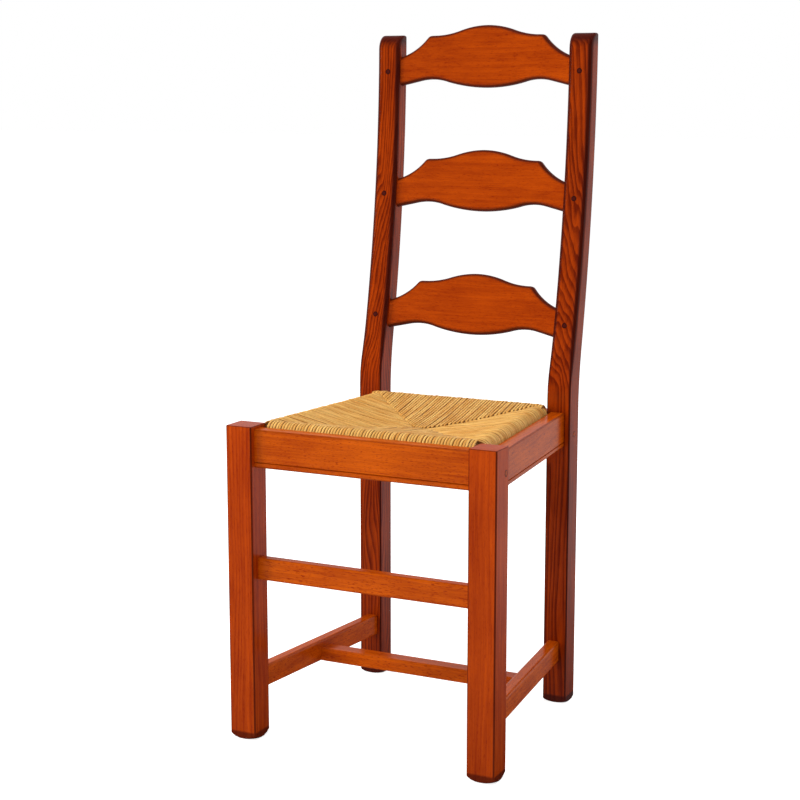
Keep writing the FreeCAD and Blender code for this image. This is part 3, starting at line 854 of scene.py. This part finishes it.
@dataclass(frozen=True)
class FrontLegs:
    """The two square front legs."""

    half_width: float = 0.206
    thickness: float = 0.041
    height: float = 0.457
    edge: float = 0.0024
    top_edge: float = 0.0014
    top_turns: tuple[int, ...] = (0, 30, 60, 90)
    foot: TurnedFoot = TurnedFoot()
    cuts: tuple[GrainCut, ...] = (GrainCut(-1, "left", (0.31, 0.004, -0.012), 0.28, 0.0046, 0.024),
                                  GrainCut(1, "right", (1.7, 0.021, 0.006), 0.18, 0.007, 0.024))

    def levels(self, side: int) -> list[Level]:
        """Return one leg's sections. The stain is darkest half way round the top edge, and the top is plain.

        Args:
            side: -1 for the left leg, 1 for the right.

        Returns:
            The sections, lowest first.
        """
        x = across(side, self.half_width - self.thickness, self.half_width)
        y = (-DEPTH_ORIGIN, self.thickness - DEPTH_ORIGIN)
        levels = self.foot.levels(x, lambda z: y, self.edge, self.edge)
        for degrees in self.top_turns:
            inset = self.top_edge * (1 - math.cos(math.radians(degrees)))
            z = self.height - self.top_edge * (1 - math.sin(math.radians(degrees)))
            levels.append(Level(z, (x[0] + inset, x[1] - inset), (y[0] + inset, y[1] - inset), self.edge, self.edge,
                                stain=math.sin(math.radians(2 * degrees)), corner_stain=float(degrees < 90)))
        return levels

    def build(self) -> None:
        """Build and dress both legs."""
        for cut in self.cuts:
            wood = StainedWood("leg_stain_" + cut.name, GrainAxis.UPRIGHT, cut.shift, ring_share=cut.ring_share,
                               ring_width=cut.ring_width, figure=cut.figure, end_share=0.2)
            piece = make_piece(raise_leg(self.levels(cut.side)), "square_leg_" + cut.name, wood.build(),
                               ["front_leg_" + cut.name])
            weigh_normals(piece)


@dataclass(frozen=True)
class LeaningFace:
    """The front or back line of a rear post, upright up to a knee and then leaning back in an arc."""

    upright: float
    end: float
    radius: float
    knee_run: float
    upright_at: float = 1.010

    def knee(self) -> float:
        """Return the height at which the arc leaves the upright line."""
        return self.upright_at - math.sqrt(self.radius ** 2 - (self.upright - self.end + self.radius) ** 2)

    def lean(self, z: float) -> float:
        """Return the arc's depth at a height."""
        return self.end - self.radius + math.sqrt(self.radius ** 2 - (self.upright_at - z) ** 2)

    def slope(self, z: float) -> float:
        """Return how far the arc runs back for each unit of height."""
        rise = self.upright_at - z
        return rise / math.sqrt(self.radius ** 2 - rise ** 2)

    def depth(self, z: float) -> float:
        """Return the line's depth at a height, with the knee rounded.

        Args:
            z: The height.

        Returns:
            The depth behind the front legs' faces.
        """
        knee = self.knee()
        line = self.lean(z) if z > knee else self.upright
        left = self.knee_run - abs(z - knee)
        return line + (self.slope(knee) * left * left / (4 * self.knee_run) if left > 0 else 0.0)


POST_FRONT = LeaningFace(0.343, 0.4075, 2.115, 0.0187)
POST_BACK = LeaningFace(0.3805, 0.436, 2.400, 0.0454)


@dataclass(frozen=True)
class RearPosts:
    """The two rear posts, whose front edges are rounded wide above the seat.

    The top's rounding darkens with end-grain stain and painted shade, fully from dark_from degrees up, and
    round_room is the most of half a section's depth that its edges' rounding takes.
    """

    inner: float = 0.138
    outer: float = 0.175
    top: float = 1.000
    top_round: float = 0.021
    top_edge: float = 0.003
    low_edge: float = 0.0026
    high_edge: float = 0.0072
    back_edge: float = 0.003
    widening: Pair = (0.470, 0.560)
    straight_to: float = 0.430
    level_step: float = 0.018
    top_turns: tuple[int, ...] = (12, 24, 36, 48, 58, 66, 72, 78, 84, 90)
    dark_from: float = 36.0
    round_room: float = 0.9
    foot: TurnedFoot = TurnedFoot()
    cuts: tuple[GrainCut, ...] = (GrainCut(-1, "left", (0.9, 0.013, 0.05), 0.55, 0.0036, 0.040),
                                  GrainCut(1, "right", (2.3, -0.006, 0.034), 0.55, 0.0036, 0.022))

    def front_edge(self, z: float) -> float:
        """Return the front edges' rounding at a height.

        Args:
            z: The height.

        Returns:
            The rounding's radius.
        """
        share = min(1.0, max(0.0, (z - self.widening[0]) / (self.widening[1] - self.widening[0])))
        return self.low_edge + (self.high_edge - self.low_edge) * share * share * (3 - 2 * share)

    def depths(self, z: float) -> Pair:
        """Return the post's limits in Y at a height."""
        return (POST_FRONT.depth(z) - DEPTH_ORIGIN, POST_BACK.depth(z) - DEPTH_ORIGIN)

    def levels(self, side: int) -> list[Level]:
        """Return one post's sections, of which the straight stretch above the foot needs none.

        Args:
            side: -1 for the left post, 1 for the right.

        Returns:
            The sections, lowest first.
        """
        x = across(side, self.inner, self.outer)
        levels = self.foot.levels(x, self.depths, self.low_edge, self.back_edge)
        start, end = self.straight_to, self.top - self.top_round
        count = round((end - start) / self.level_step)
        for step in range(count + 1):
            z = start + (end - start) * step / count
            levels.append(Level(z, x, self.depths(z), self.front_edge(z), self.back_edge))
        for degrees in self.top_turns:
            angle = math.radians(degrees)
            z = end + self.top_round * math.sin(angle)
            over = max(0.0, z - self.top + self.top_edge)
            inset = self.top_edge - math.sqrt(max(0.0, self.top_edge ** 2 - over ** 2))
            front = POST_FRONT.depth(z) + self.top_round * (1 - math.cos(angle))
            y = (front - DEPTH_ORIGIN, POST_BACK.depth(z) - inset - DEPTH_ORIGIN)
            room = (y[1] - y[0]) / 2 * self.round_room
            # The top's rounding is darkened by end-grain stain together with painted shade, the shade that the top
            # is in.
            levels.append(Level(z, (x[0] + inset, x[1] - inset), y, min(self.high_edge, room),
                                min(self.back_edge, room), stain=min(1.0, degrees / self.dark_from)))
        return levels

    def build(self) -> None:
        """Build and dress both posts."""
        for cut in self.cuts:
            # The posts' stain is darker than the other pieces': partly their own tone, partly painted shade for
            # their lower fronts, which stand in shade.
            wood = StainedWood("post_stain_" + cut.name, GrainAxis.UPRIGHT, cut.shift, pale=colour(180, 64, 3),
                               deep=colour(104, 26, 3), ring_share=cut.ring_share, ring_width=cut.ring_width,
                               figure=cut.figure, fleck_share=0.15, edge_share=0.9)
            piece = make_piece(raise_leg(self.levels(cut.side)), "leaning_post_" + cut.name, wood.build(),
                               ["rear_post_" + cut.name])
            weigh_normals(piece)


@dataclass(frozen=True)
class BackSlats:
    """The three scalloped slats, cut to one outline and bowed backwards.

    A slat is cut into strips so that it can bow, none nearer than strip_room of a strip to a corner of its
    outline. The stain on its rounded edges is full from stain_rise of their depth.
    """

    heights: tuple[tuple[str, float], ...] = (("top", 0.945), ("middle", 0.760), ("bottom", 0.575))
    thickness: float = 0.016
    bow_radius: float = 1.080
    end: float = 0.1388
    crown: float = 0.069
    belly: float = -0.0242
    edge: float = 0.0066
    edge_segments: int = 5
    rim_angle: float = math.radians(80)
    strip: float = 0.004
    strip_room: float = 0.4
    stain_rise: float = 0.2
    grain_step: Pair = (0.37, 0.011)

    def outline(self, bm: BMesh) -> None:
        """Draw one half of the slat's face, from its crown round to its belly, and then its mirror image.

        Args:
            bm: The bmesh to draw into.
        """
        crown, belly = self.crown, self.belly
        # Each run has a point on its arc, or None where it is straight, its end, both as x and z, and its edges.
        runs = (
            ((0.0225, crown - 0.00202), (0.045, crown - 0.0080), 8),  # the crown
            ((0.064, crown - 0.0129), (0.080, crown - 0.0148), 6),  # the hollow beside it
            (None, (0.0903, crown - 0.0151), 1),  # the flat shoulder
            ((0.09365, crown - 0.01595), (0.0964, crown - 0.01805), 3),  # the shoulder's corner
            ((0.112, crown - 0.0330), (self.end, 0.0220), 10),  # the fall to the end
            (None, (self.end, belly + 0.0026), 1),  # the end
            (None, (0.108, belly + 0.0099), 1),  # the lower corner
            ((0.086, belly + 0.0124), (0.062, belly + 0.0082), 10),  # the lower hollow
            ((0.0318, belly + 0.00214), (0.0, belly), 10),  # the belly
        )
        last = bm.verts.new((0.0, 0.0, crown))
        for middle, finish, steps in runs:
            last = self.arc(bm, last, middle, finish, steps) if middle else self.line(bm, last, finish)
        bmesh.ops.mirror(bm, geom=bm.verts[:] + bm.edges[:], axis="X", merge_dist=SAME_POINT)
        bmesh.ops.contextual_create(bm, geom=bm.edges[:])

    @staticmethod
    def line(bm: BMesh, start: BMVert, end: Pair) -> BMVert:
        """Run a straight edge from a corner.

        Args:
            bm: The bmesh.
            start: The corner.
            end: The other end, as x and z.

        Returns:
            The new corner.
        """
        made = bmesh.ops.extrude_vert_indiv(bm, verts=[start])["verts"][0]
        made.co = (end[0], 0.0, end[1])
        return made

    @staticmethod
    def arc(bm: BMesh, start: BMVert, middle: Pair, end: Pair, steps: int) -> BMVert:
        """Spin an arc from a corner.

        Args:
            bm: The bmesh.
            start: The corner.
            middle: A point on the arc, as x and z.
            end: The other end, as x and z.
            steps: The arc's edges.

        Returns:
            The arc's last corner.
        """
        first, last = Vector((start.co.x, start.co.z)), Vector(end)
        centre, _ = circle_through(first, Vector(middle), last)
        before, after = first - centre, last - centre
        angle = math.atan2(before.x * after.y - before.y * after.x, before.dot(after))
        made = bmesh.ops.spin(bm, geom=[start], cent=(centre.x, 0.0, centre.y), axis=(0.0, -1.0, 0.0),
                              angle=angle, steps=steps, use_duplicate=False)["geom_last"]
        return next(item for item in made if isinstance(item, BMVert))

    def shape(self) -> BMesh:
        """Build a slat that stands at the origin.

        Returns:
            The slat as a closed bmesh.
        """
        bm = bmesh.new()
        self.outline(bm)
        corners = sorted({round(vert.co.x, 5) for vert in bm.verts})
        steps = round(2 * self.end / self.strip)
        even = [self.end * (2 * step / steps - 1) for step in range(1, steps)]
        room = self.strip_room * self.strip
        spare = [x for x in even if min(abs(x - corner) for corner in corners) > room]
        for x in corners[1:-1] + spare:
            bmesh.ops.bisect_plane(bm, geom=bm.verts[:] + bm.edges[:] + bm.faces[:], dist=ON_PLANE,
                                   plane_co=(x, 0.0, 0.0), plane_no=(1.0, 0.0, 0.0))
        bmesh.ops.translate(bm, vec=(0.0, -self.thickness / 2, 0.0), verts=bm.verts)
        made = bmesh.ops.extrude_face_region(bm, geom=bm.faces[:])["geom"]
        bmesh.ops.translate(bm, vec=(0.0, self.thickness, 0.0),
                            verts=[item for item in made if isinstance(item, BMVert)])
        bmesh.ops.recalc_face_normals(bm, faces=bm.faces)
        rims = [e for e in bm.edges if len(e.link_faces) == 2 and e.calc_face_angle() > self.rim_angle
                and abs(e.verts[0].co.x - e.verts[1].co.x) > SAME_POINT]
        bmesh.ops.bevel(bm, geom=rims, offset=self.edge, segments=self.edge_segments, profile=0.5, affect="EDGES",
                        material=-1)
        rim = bm.verts.layers.float.new("rim")
        for vert in bm.verts:
            sunk = (self.thickness / 2 - abs(vert.co.y)) / self.edge
            vert[rim] = min(1.0, sunk / self.stain_rise)
            vert.co.y += self.bow(vert.co.x)
        return bm

    def bow(self, x: float) -> float:
        """Return how far the slat is bowed back at a distance from its middle."""
        return math.sqrt(self.bow_radius ** 2 - x * x) - math.sqrt(self.bow_radius ** 2 - self.end ** 2)

    def build(self) -> None:
        """Build and dress the three slats."""
        for number, (name, height) in enumerate(self.heights):
            bm = self.shape()
            lean = Matrix.Rotation(-math.atan(POST_FRONT.slope(height)), 4, "X")
            depth = (POST_FRONT.depth(height) + POST_BACK.depth(height)) / 2 - DEPTH_ORIGIN
            bmesh.ops.transform(bm, matrix=Matrix.Translation((0.0, depth, height)) @ lean, verts=bm.verts)
            along, up = self.grain_step
            wood = StainedWood("slat_stain_" + name, GrainAxis.ACROSS, (along * number, 0.05, up * number),
                               pale=colour(188, 73, 3), deep=colour(136, 38, 2), ring_share=0.1, ring_width=0.009,
                               fleck_share=0.4, edge_share=0.88)
            piece = make_piece(bm, "scalloped_slat_" + name, wood.build(), [name + "_slat"])
            weigh_normals(piece)


@dataclass(frozen=True)
class Pegs:
    """Dowel pegs whose heads are sanded flush, with a dark ring of stain round each."""

    slat_radius: float = 0.0035
    apron_radius: float = 0.0042
    ring: float = 0.0005
    proud: float = 0.0003
    depth: float = 0.012
    segments: int = 20
    slat_half: float = 0.1565
    apron_spots: tuple[Point, ...] = ((0.206, 0.031, 0.422), (0.175, 0.362, 0.414))

    def head(self, bm: BMesh, radius: float, place: Matrix) -> None:
        """Turn one peg with its head at a place.

        Args:
            bm: The bmesh to add the peg to.
            radius: The peg's radius.
            place: Moves the peg, whose head faces up at the origin, to its place.
        """
        rim = bm.verts.layers.float.get("rim") or bm.verts.layers.float.new("rim")
        ring, proud = self.ring, self.proud
        # The peg's outline from the middle of its head: radius, height and how dark the stain is there.
        outline = ((0.0, proud, 0.0), (0.55 * radius, proud * 0.9, 0.05), (0.82 * radius, proud * 0.6, 0.3),
                   (0.95 * radius, proud * 0.1, 1.0), (radius + ring, proud * 0.15, 1.0),
                   (radius + ring, -ring, 1.0), (radius - ring, -ring * 2, 1.0),
                   (radius - ring, -self.depth, 1.0), (0.0, -self.depth, 1.0))
        verts = []
        for r, z, stain in outline:
            vert = bm.verts.new((r, 0.0, z))
            vert[rim] = stain
            verts.append(vert)
        edges = [bm.edges.new(pair) for pair in zip(verts, verts[1:])]
        before = set(bm.verts) - set(verts)
        bmesh.ops.spin(bm, geom=verts + edges, cent=(0.0, 0.0, 0.0), axis=(0.0, 0.0, 1.0), angle=2 * math.pi,
                       steps=self.segments, use_merge=True, use_duplicate=False)
        bmesh.ops.remove_doubles(bm, verts=[v for v in bm.verts if v not in before], dist=SAME_POINT)
        bmesh.ops.transform(bm, matrix=place, verts=[v for v in bm.verts if v not in before])

    def build(self, heights: Sequence[float]) -> None:
        """Build and dress the slat pegs and the apron pegs.

        Args:
            heights: The slats' heights.
        """
        slat_pegs, apron_pegs = bmesh.new(), bmesh.new()
        for side in (-1, 1):
            for height in heights:
                tilt = Matrix.Rotation(math.pi / 2 - math.atan(POST_FRONT.slope(height)), 4, "X")
                spot = (side * self.slat_half, POST_FRONT.depth(height) - DEPTH_ORIGIN, height)
                self.head(slat_pegs, self.slat_radius, Matrix.Translation(spot) @ tilt)
            turn = Matrix.Rotation(side * math.pi / 2, 4, "Y")
            for x, depth, height in self.apron_spots:
                spot = (side * x, depth - DEPTH_ORIGIN, height)
                self.head(apron_pegs, self.apron_radius, Matrix.Translation(spot) @ turn)
        dark = PegWood("dark_peg", colour(84, 16, 10))
        make_piece(slat_pegs, "slat_peg_heads", dark.build(), ["slat_pegs"])
        stained = PegWood("stained_peg", colour(196, 92, 50), colour(70, 22, 12))
        make_piece(apron_pegs, "apron_peg_heads", stained.build(), ["apron_pegs"])


@dataclass
class RushSeat:
    """The rush seat: four fans of twisted cords that go over the rails and back under them."""

    # The seat's outline and its hollow.
    front: float = 0.031
    rear: float = 0.340
    front_half: float = 0.1754
    taper: float = 0.10265
    taper_from: float = 0.041
    nose: float = 0.015
    middle_height: float = 0.445
    centre: float = 0.200
    centre_drop: float = 0.023
    under_drop: float = 0.0015
    seam_half: float = 0.010
    straight_share: float = 0.45
    front_corner: Pair = (0.164, 0.0425)
    front_end: float = 0.1590
    front_gap: float = 0.002
    rear_gap: float = 0.004
    corner_round: float = 0.016

    # A cord's section, its line round the rail, and its ends, which tuck down into the seam.
    pitch: float = 0.00454
    thickness: float = 0.0040
    overlap: float = 0.0020
    oval: float = 0.04
    end_thickness: float = 0.6
    corners: int = 8
    run_step: float = 0.008
    least_run: float = 0.002
    nose_turns: Sequence[int] = range(110, 260, 20)
    tuck: float = 0.0045
    tuck_share: float = 0.45
    tuck_run: float = 0.8
    twist_pitch: float = 0.160

    # The small errors of handwork: the most that each may be, or its range.
    draw: random.Random = field(default_factory=lambda: random.Random(41))
    run_error: float = 0.0008
    lift_error: float = 0.0004
    sway: Pair = (0.0001, 0.0003)
    wave: Pair = (0.07, 0.15)
    place_error: float = 0.06
    width_share: Pair = (1.14, 1.22)

    def half_width(self, depth: float) -> float:
        """Return half the seat's width at a depth."""
        return self.front_half - self.taper * (depth - self.taper_from)

    def reach(self, side: Side) -> float:
        """Return the distance from a side's edge to the middle, where the seat is lowest."""
        middle = self.half_width(self.centre) - self.seam_half
        return {Side.FRONT: self.centre - self.front, Side.REAR: self.rear - self.centre}.get(side, middle)

    def run(self, side: Side, at: float) -> float:
        """Return how far a cord runs in from the seat's edge to the seam.

        Args:
            side: The cord's fan.
            at: The cord's place along the edge, an x for the front and rear fans and a depth for the others.

        Returns:
            The distance to the seam.
        """
        corner_x, corner_y = self.front_corner
        centre, rear_x = self.centre, self.half_width(self.rear)
        if side is Side.FRONT:
            share = min(1.0, (corner_x - abs(at)) / (corner_x - self.seam_half))
            return corner_y + share * (centre - corner_y) - self.front
        if side is Side.REAR:
            share = min(1.0, (rear_x - abs(at)) / (rear_x - self.seam_half))
            return share * (self.rear - centre)
        if at < centre:
            seam = corner_x - (at - corner_y) / (centre - corner_y) * (corner_x - self.seam_half)
        else:
            seam = self.seam_half + (at - centre) / (self.rear - centre) * (rear_x - self.seam_half)
        return self.half_width(at) - seam

    def spot(self, side: Side, at: float, inward: float, z: float) -> Vector:
        """Return a point of a fan.

        Args:
            side: The fan.
            at: The place along the edge.
            inward: The distance in from the edge.
            z: The height.

        Returns:
            The point in the chair's frame.
        """
        if side is Side.FRONT:
            return Vector((at, self.front + inward - DEPTH_ORIGIN, z))
        if side is Side.REAR:
            return Vector((at, self.rear - inward - DEPTH_ORIGIN, z))
        x = self.half_width(at) - inward
        return Vector((x if side is Side.RIGHT else -x, at - DEPTH_ORIGIN, z))

    def setback(self, side: Side, at: float) -> float:
        """Return how far a cord stands back from the edge where the seat's rear corners are round.

        Args:
            side: The fan.
            at: The place along the edge.

        Returns:
            The distance.
        """
        if side is Side.FRONT:
            return 0.0
        gap = (self.half_width(self.rear) - abs(at)) if side is Side.REAR else (self.rear - at)
        left = max(0.0, self.corner_round - gap)
        return self.corner_round - math.sqrt(self.corner_round ** 2 - left ** 2)

    def profile(self, run: float, setback: float, reach: float) -> list[Pair]:
        """Return a cord's line over the rail and back under it, in distance from the edge and height.

        Args:
            run: The distance to the seam.
            setback: How far the cord stands back from the edge.
            reach: The distance from the edge to the seat's lowest point.

        Returns:
            The line's points, from the seam above to the seam below.
        """
        bend = self.nose - self.thickness / 2
        start = setback + self.nose
        run = max(run, start + self.least_run)
        count = max(1, round((run - start) / self.run_step))
        inward = [start + (run - start) * step / count for step in range(count + 1)]

        def sink(n: float) -> float:
            """Return how far the seat has sunk at a distance from the edge, as a share of its depth."""
            share = min(1.0, max(0.0, n - self.nose) / (reach - self.nose))
            return self.straight_share * share + (1 - self.straight_share) * math.sin(share * math.pi / 2)

        top = [(n, self.middle_height + bend - self.centre_drop * sink(n)) for n in reversed(inward)]
        nose = []
        for degrees in self.nose_turns:
            angle = math.radians(degrees)
            nose.append((start + bend * math.cos(angle), self.middle_height + bend * math.sin(angle)))
        bottom = [(n, self.middle_height - bend - self.under_drop * sink(n)) for n in inward]
        tuck = min(self.tuck, self.tuck_share * (top[0][1] - bottom[-1][1]))
        last = run + self.tuck_run * tuck
        return [(last, top[0][1] - tuck)] + top + nose + bottom + [(last, bottom[-1][1] + tuck)]

    def line(self, side: Side, at: float) -> list[Vector]:
        """Lay the middle line of one cord, with the small errors of handwork.

        Args:
            side: The cord's fan.
            at: The cord's place along the edge.

        Returns:
            The line's points, from the seam above to the seam below.
        """
        draw = self.draw
        run = self.run(side, at) + draw.uniform(-self.run_error, self.run_error)
        lift = draw.uniform(-self.lift_error, self.lift_error) + (self.overlap if side is Side.REAR else 0.0)
        lean, sway, wave = draw.uniform(0.0, 2 * math.pi), draw.uniform(*self.sway), draw.uniform(*self.wave)
        points = []
        for n, z in self.profile(run, self.setback(side, at), self.reach(side)):
            shift = sway * math.sin(2 * math.pi * n / wave + lean)
            points.append(self.spot(side, at + shift, n, z + lift))
        return points

    def cord(self, side: Side, at: float, width: float) -> bpy.types.Mesh:
        """Run one twisted cord over its rail.

        Args:
            side: The fan.
            at: The cord's place along the edge.
            width: The cord's width.

        Returns:
            A mesh for the fan to take in.
        """
        points = self.line(side, at)
        along = (self.spot(side, at + 0.001, 0.0, 0.0) - self.spot(side, at, 0.0, 0.0)).normalized()
        tone, turn = self.draw.random(), self.draw.uniform(0.0, 2 * math.pi)
        bm = bmesh.new()
        section = bm.verts.layers.float_vector.new("section")
        cord = bm.verts.layers.float.new("cord")
        # gap is 1 at the cord's sides and 0 at its top and bottom; the rush's material paints shade there, between
        # the cords.
        gap = bm.verts.layers.float.new("gap")
        bmesh.ops.create_circle(bm, cap_ends=True, segments=self.corners, radius=1.0)
        for vert in bm.verts:
            vert[section], vert[cord] = vert.co, tone
            vert.co *= 1.0 + self.oval * math.cos(2 * math.atan2(vert.co.y, vert.co.x))
        top, last, length = bm.faces[:][0], Matrix(), 0.0
        for number, point in enumerate(points):
            before, after = points[max(0, number - 1)], points[min(len(points) - 1, number + 1)]
            ahead = (after - before).normalized()
            up = ahead.cross(along).normalized()
            length += (point - before).length
            slim = self.end_thickness if number in (0, len(points) - 1) else 1.0
            size = Matrix.Diagonal((width / 2, self.thickness / 2 * slim, 1.0, 1.0))
            twist = Matrix.Rotation(turn + 2 * math.pi * length / self.twist_pitch, 4, "Z")
            lay = Matrix((up.cross(ahead).normalized(), up, ahead)).transposed().to_4x4()
            place = Matrix.Translation(point) @ lay @ size @ twist
            if number:
                top = raise_face(bm, top, number == 1)
            bmesh.ops.transform(bm, matrix=place @ last.inverted(), verts=top.verts)
            for vert in top.verts:
                vert[section] = (*vert[section][:2], length)
                vert[gap] = 1.0 - abs((vert.co - point).dot(up)) / (self.thickness / 2)
            last = place
        mesh = bpy.data.meshes.new("cord")
        bm.to_mesh(mesh)
        bm.free()
        return mesh

    def fan(self, side: Side, material: bpy.types.Material) -> None:
        """Weave one fan.

        Args:
            side: The fan.
            material: The rush's material.
        """
        if side is Side.FRONT:
            low, high = -self.front_end, self.front_end
        elif side is Side.REAR:
            low, high = self.rear_gap - self.half_width(self.rear), self.half_width(self.rear) - self.rear_gap
        else:
            low, high = self.front_corner[1] + self.front_gap, self.rear - self.rear_gap
        bm = bmesh.new()
        count = round((high - low) / self.pitch)
        pitch = (high - low) / count
        for number in range(count):
            at = low + pitch * (number + 0.5 + self.draw.uniform(-self.place_error, self.place_error))
            cord = self.cord(side, at, pitch * self.draw.uniform(*self.width_share))
            bm.from_mesh(cord)
            bpy.data.meshes.remove(cord)
        piece = make_piece(bm, "rush_cords_" + side.value, material, ["rush_" + side.value], math.pi)

    def build(self) -> None:
        """Weave the four fans."""
        material = Rush().build()
        for side in Side:
            self.fan(side, material)


def dress(node: str, finish: StainedWood | ScrewSteel) -> None:
    """Give a CAD node a finish.

    Args:
        node: The node's name.
        finish: The finish.
    """
    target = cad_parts[node]
    material = finish.build()
    if not target.material_slots:
        target.data.materials.append(material)
    for slot in target.material_slots:
        slot.material = material
    log.info("node %s wears %s", node, material.name)


@dataclass(frozen=True)
class Rails:
    """The aprons, stretchers, seat rails, bearers and screws, which keep their CAD shapes."""

    stained: tuple[str, ...] = ("apron_front", "apron_rear", "apron_left", "apron_right", "stretcher_front",
                                "stretcher_centre", "stretcher_left", "stretcher_right")
    raw: tuple[str, ...] = ("seat_rail_front", "seat_rail_rear", "seat_rail_left", "seat_rail_right",
                            "seat_bearer_left", "seat_bearer_right")
    screws: tuple[str, ...] = ("bearer_screws", "seat_screws")

    @staticmethod
    def axis(node: str) -> GrainAxis:
        """Return the way a node's grain runs: to the back in those at the sides, and across in the others."""
        return GrainAxis.DEEP if node.endswith(("_left", "_right")) else GrainAxis.ACROSS

    def build(self) -> None:
        """Dress every node of the group, each with its own part of the pattern."""
        stain = {"pale": colour(216, 96, 6), "deep": colour(152, 48, 4), "ring_share": 0.15, "ring_width": 0.008,
                 "fleck_share": 0.7, "turned_share": 1.0, "edge_share": 0.4}
        for number, node in enumerate(self.stained):
            shift = (0.23 * number, 0.017 * number, 0.05)
            dress(node, StainedWood(node + "_stain", self.axis(node), shift, **stain))
        bare = {"pale": colour(214, 176, 126), "deep": colour(168, 120, 74), "edge_share": 0.0, "end_share": 0.3,
                "coat": 0.0}
        for number, node in enumerate(self.raw):
            dress(node, StainedWood(node + "_raw_wood", self.axis(node), (0.19 * number, 0.02, 0.03), **bare))
        for node in self.screws:
            dress(node, ScrewSteel(node + "_zinc"))


# Studio


@dataclass(frozen=True)
class Studio:
    """The camera, the soft lamps, the pale floor and the white surroundings."""

    camera_place: Point = (1.09172, -2.28624, 0.91824)
    azimuth: float = 26.4013
    elevation: float = 9.9471
    lens: float = 79.702
    sensor: float = 36.0
    aim: Point = (0.0, 0.0, 0.45)
    lamps: tuple[tuple[str, Point, float, float], ...] = (
        ("key", (-2.6, -1.5, 1.5), 1.4, 76.0), ("front_fill", (0.6, -3.2, 1.6), 2.4, 20.0),
        ("top_fill", (0.0, -0.2, 3.0), 2.0, 32.0), ("back_fill", (1.0, 2.8, 1.9), 2.4, 40.0))
    surround: float = 0.36
    back_gloss: float = 0.75
    front_gloss: float = 0.004
    white_behind: Pair = (-0.4, 0.5)
    dim_above: Pair = (0.2, 0.8)
    top_gloss: float = 0.3
    floor_white_behind: Pair = (-0.3, 1.2)
    floor_half: float = 30.0
    floor_grey: Colour = (0.8, 0.8, 0.8, 1.0)
    floor_glow: float = 0.75

    def camera(self) -> None:
        """Set the camera where the photograph was taken."""
        data = bpy.data.cameras.new("photograph")
        data.lens, data.sensor_width = self.lens, self.sensor
        camera = put_in_scene("photograph", data)
        turn, rise = math.radians(self.azimuth), math.radians(self.elevation)
        back = Vector((math.sin(turn) * math.cos(rise), -math.cos(turn) * math.cos(rise), math.sin(rise)))
        camera.rotation_euler = (-back).to_track_quat("-Z", "Y").to_euler()
        camera.location = self.camera_place
        bpy.context.scene.camera = camera

    def lamp(self, name: str, place: Point, size: float, power: float) -> None:
        """Hang a square soft lamp that faces the chair.

        Args:
            name: The lamp's name.
            place: Where it hangs.
            size: The length of its sides.
            power: Its power in watts.
        """
        data = bpy.data.lights.new(name, "AREA")
        data.shape, data.size, data.energy = "SQUARE", size, power
        lamp = put_in_scene(name, data)
        lamp.location = place
        lamp.rotation_euler = (Vector(self.aim) - Vector(place)).to_track_quat("-Z", "Y").to_euler()
        lamp.visible_glossy = False

    def world(self) -> None:
        """Surround the chair with white, and leave the room in front of it dim in the lacquer."""
        world = bpy.data.worlds.new("white_studio")
        world.use_nodes = True
        bpy.context.scene.world = world
        bench = NodeBench(world.node_tree)
        background = world.node_tree.nodes["Background"]
        path = bench.add("ShaderNodeLightPath")
        direction = bench.axes(bench.add("ShaderNodeTexCoord").outputs["Generated"])
        behind = bench.spread(direction["Y"], *self.white_behind, self.front_gloss, self.back_gloss)
        overhead = bench.spread(direction["Z"], *self.dim_above, 1.0, self.top_gloss)
        glossy = bench.maths("MULTIPLY", path.outputs["Is Glossy Ray"], bench.maths("MULTIPLY", behind, overhead))
        seen = bench.maths("MAXIMUM", path.outputs["Is Camera Ray"], path.outputs["Is Transmission Ray"])
        plain = bench.maths("MULTIPLY", path.outputs["Is Diffuse Ray"], self.surround)
        level = bench.maths("MAXIMUM", bench.maths("MAXIMUM", seen, glossy), plain)
        background.inputs["Color"].default_value = WHITE
        bench.link(level, background.inputs["Strength"])

    def floor(self) -> None:
        """Lay the pale floor, which keeps the chair's shadow and fades into the white behind it."""
        bm = bmesh.new()
        bmesh.ops.create_grid(bm, x_segments=8, y_segments=8, size=self.floor_half)
        mesh = bpy.data.meshes.new("floor")
        bm.to_mesh(mesh)
        bm.free()
        floor = put_in_scene("floor", mesh)
        material, bench, shader = new_material("pale_floor")
        path = bench.add("ShaderNodeLightPath")
        place = bench.axes(bench.add("ShaderNodeTexCoord").outputs["Object"])
        behind = bench.spread(place["Y"], *self.floor_white_behind, self.front_gloss, self.back_gloss)
        glossy = path.outputs["Is Glossy Ray"]
        bench.link(bench.mix(glossy, self.floor_grey, BLACK), shader.inputs["Base Color"])
        glow = bench.maths("ADD", bench.maths("MULTIPLY", path.outputs["Is Camera Ray"], self.floor_glow),
                           bench.maths("MULTIPLY", glossy, behind))
        shader.inputs["Roughness"].default_value = 0.9
        shader.inputs["Specular IOR Level"].default_value = 0.0
        shader.inputs["Emission Color"].default_value = WHITE
        bench.link(glow, shader.inputs["Emission Strength"])
        mesh.materials.append(material)

    def build(self) -> None:
        """Set up the studio."""
        self.camera()
        self.world()
        self.floor()
        for name, place, size, power in self.lamps:
            self.lamp(name, place, size, power)
        bpy.context.scene.view_settings.view_transform = "Standard"


def main() -> None:
    """Build the studio and the chair in order."""
    logging.basicConfig(level=logging.INFO, format="%(name)s %(message)s")
    Studio().build()
    FrontLegs().build()
    RearPosts().build()
    slats = BackSlats()
    slats.build()
    Pegs().build([height for _, height in slats.heights])
    Rails().build()
    RushSeat().build()


if __name__ == "__main__":
    main()
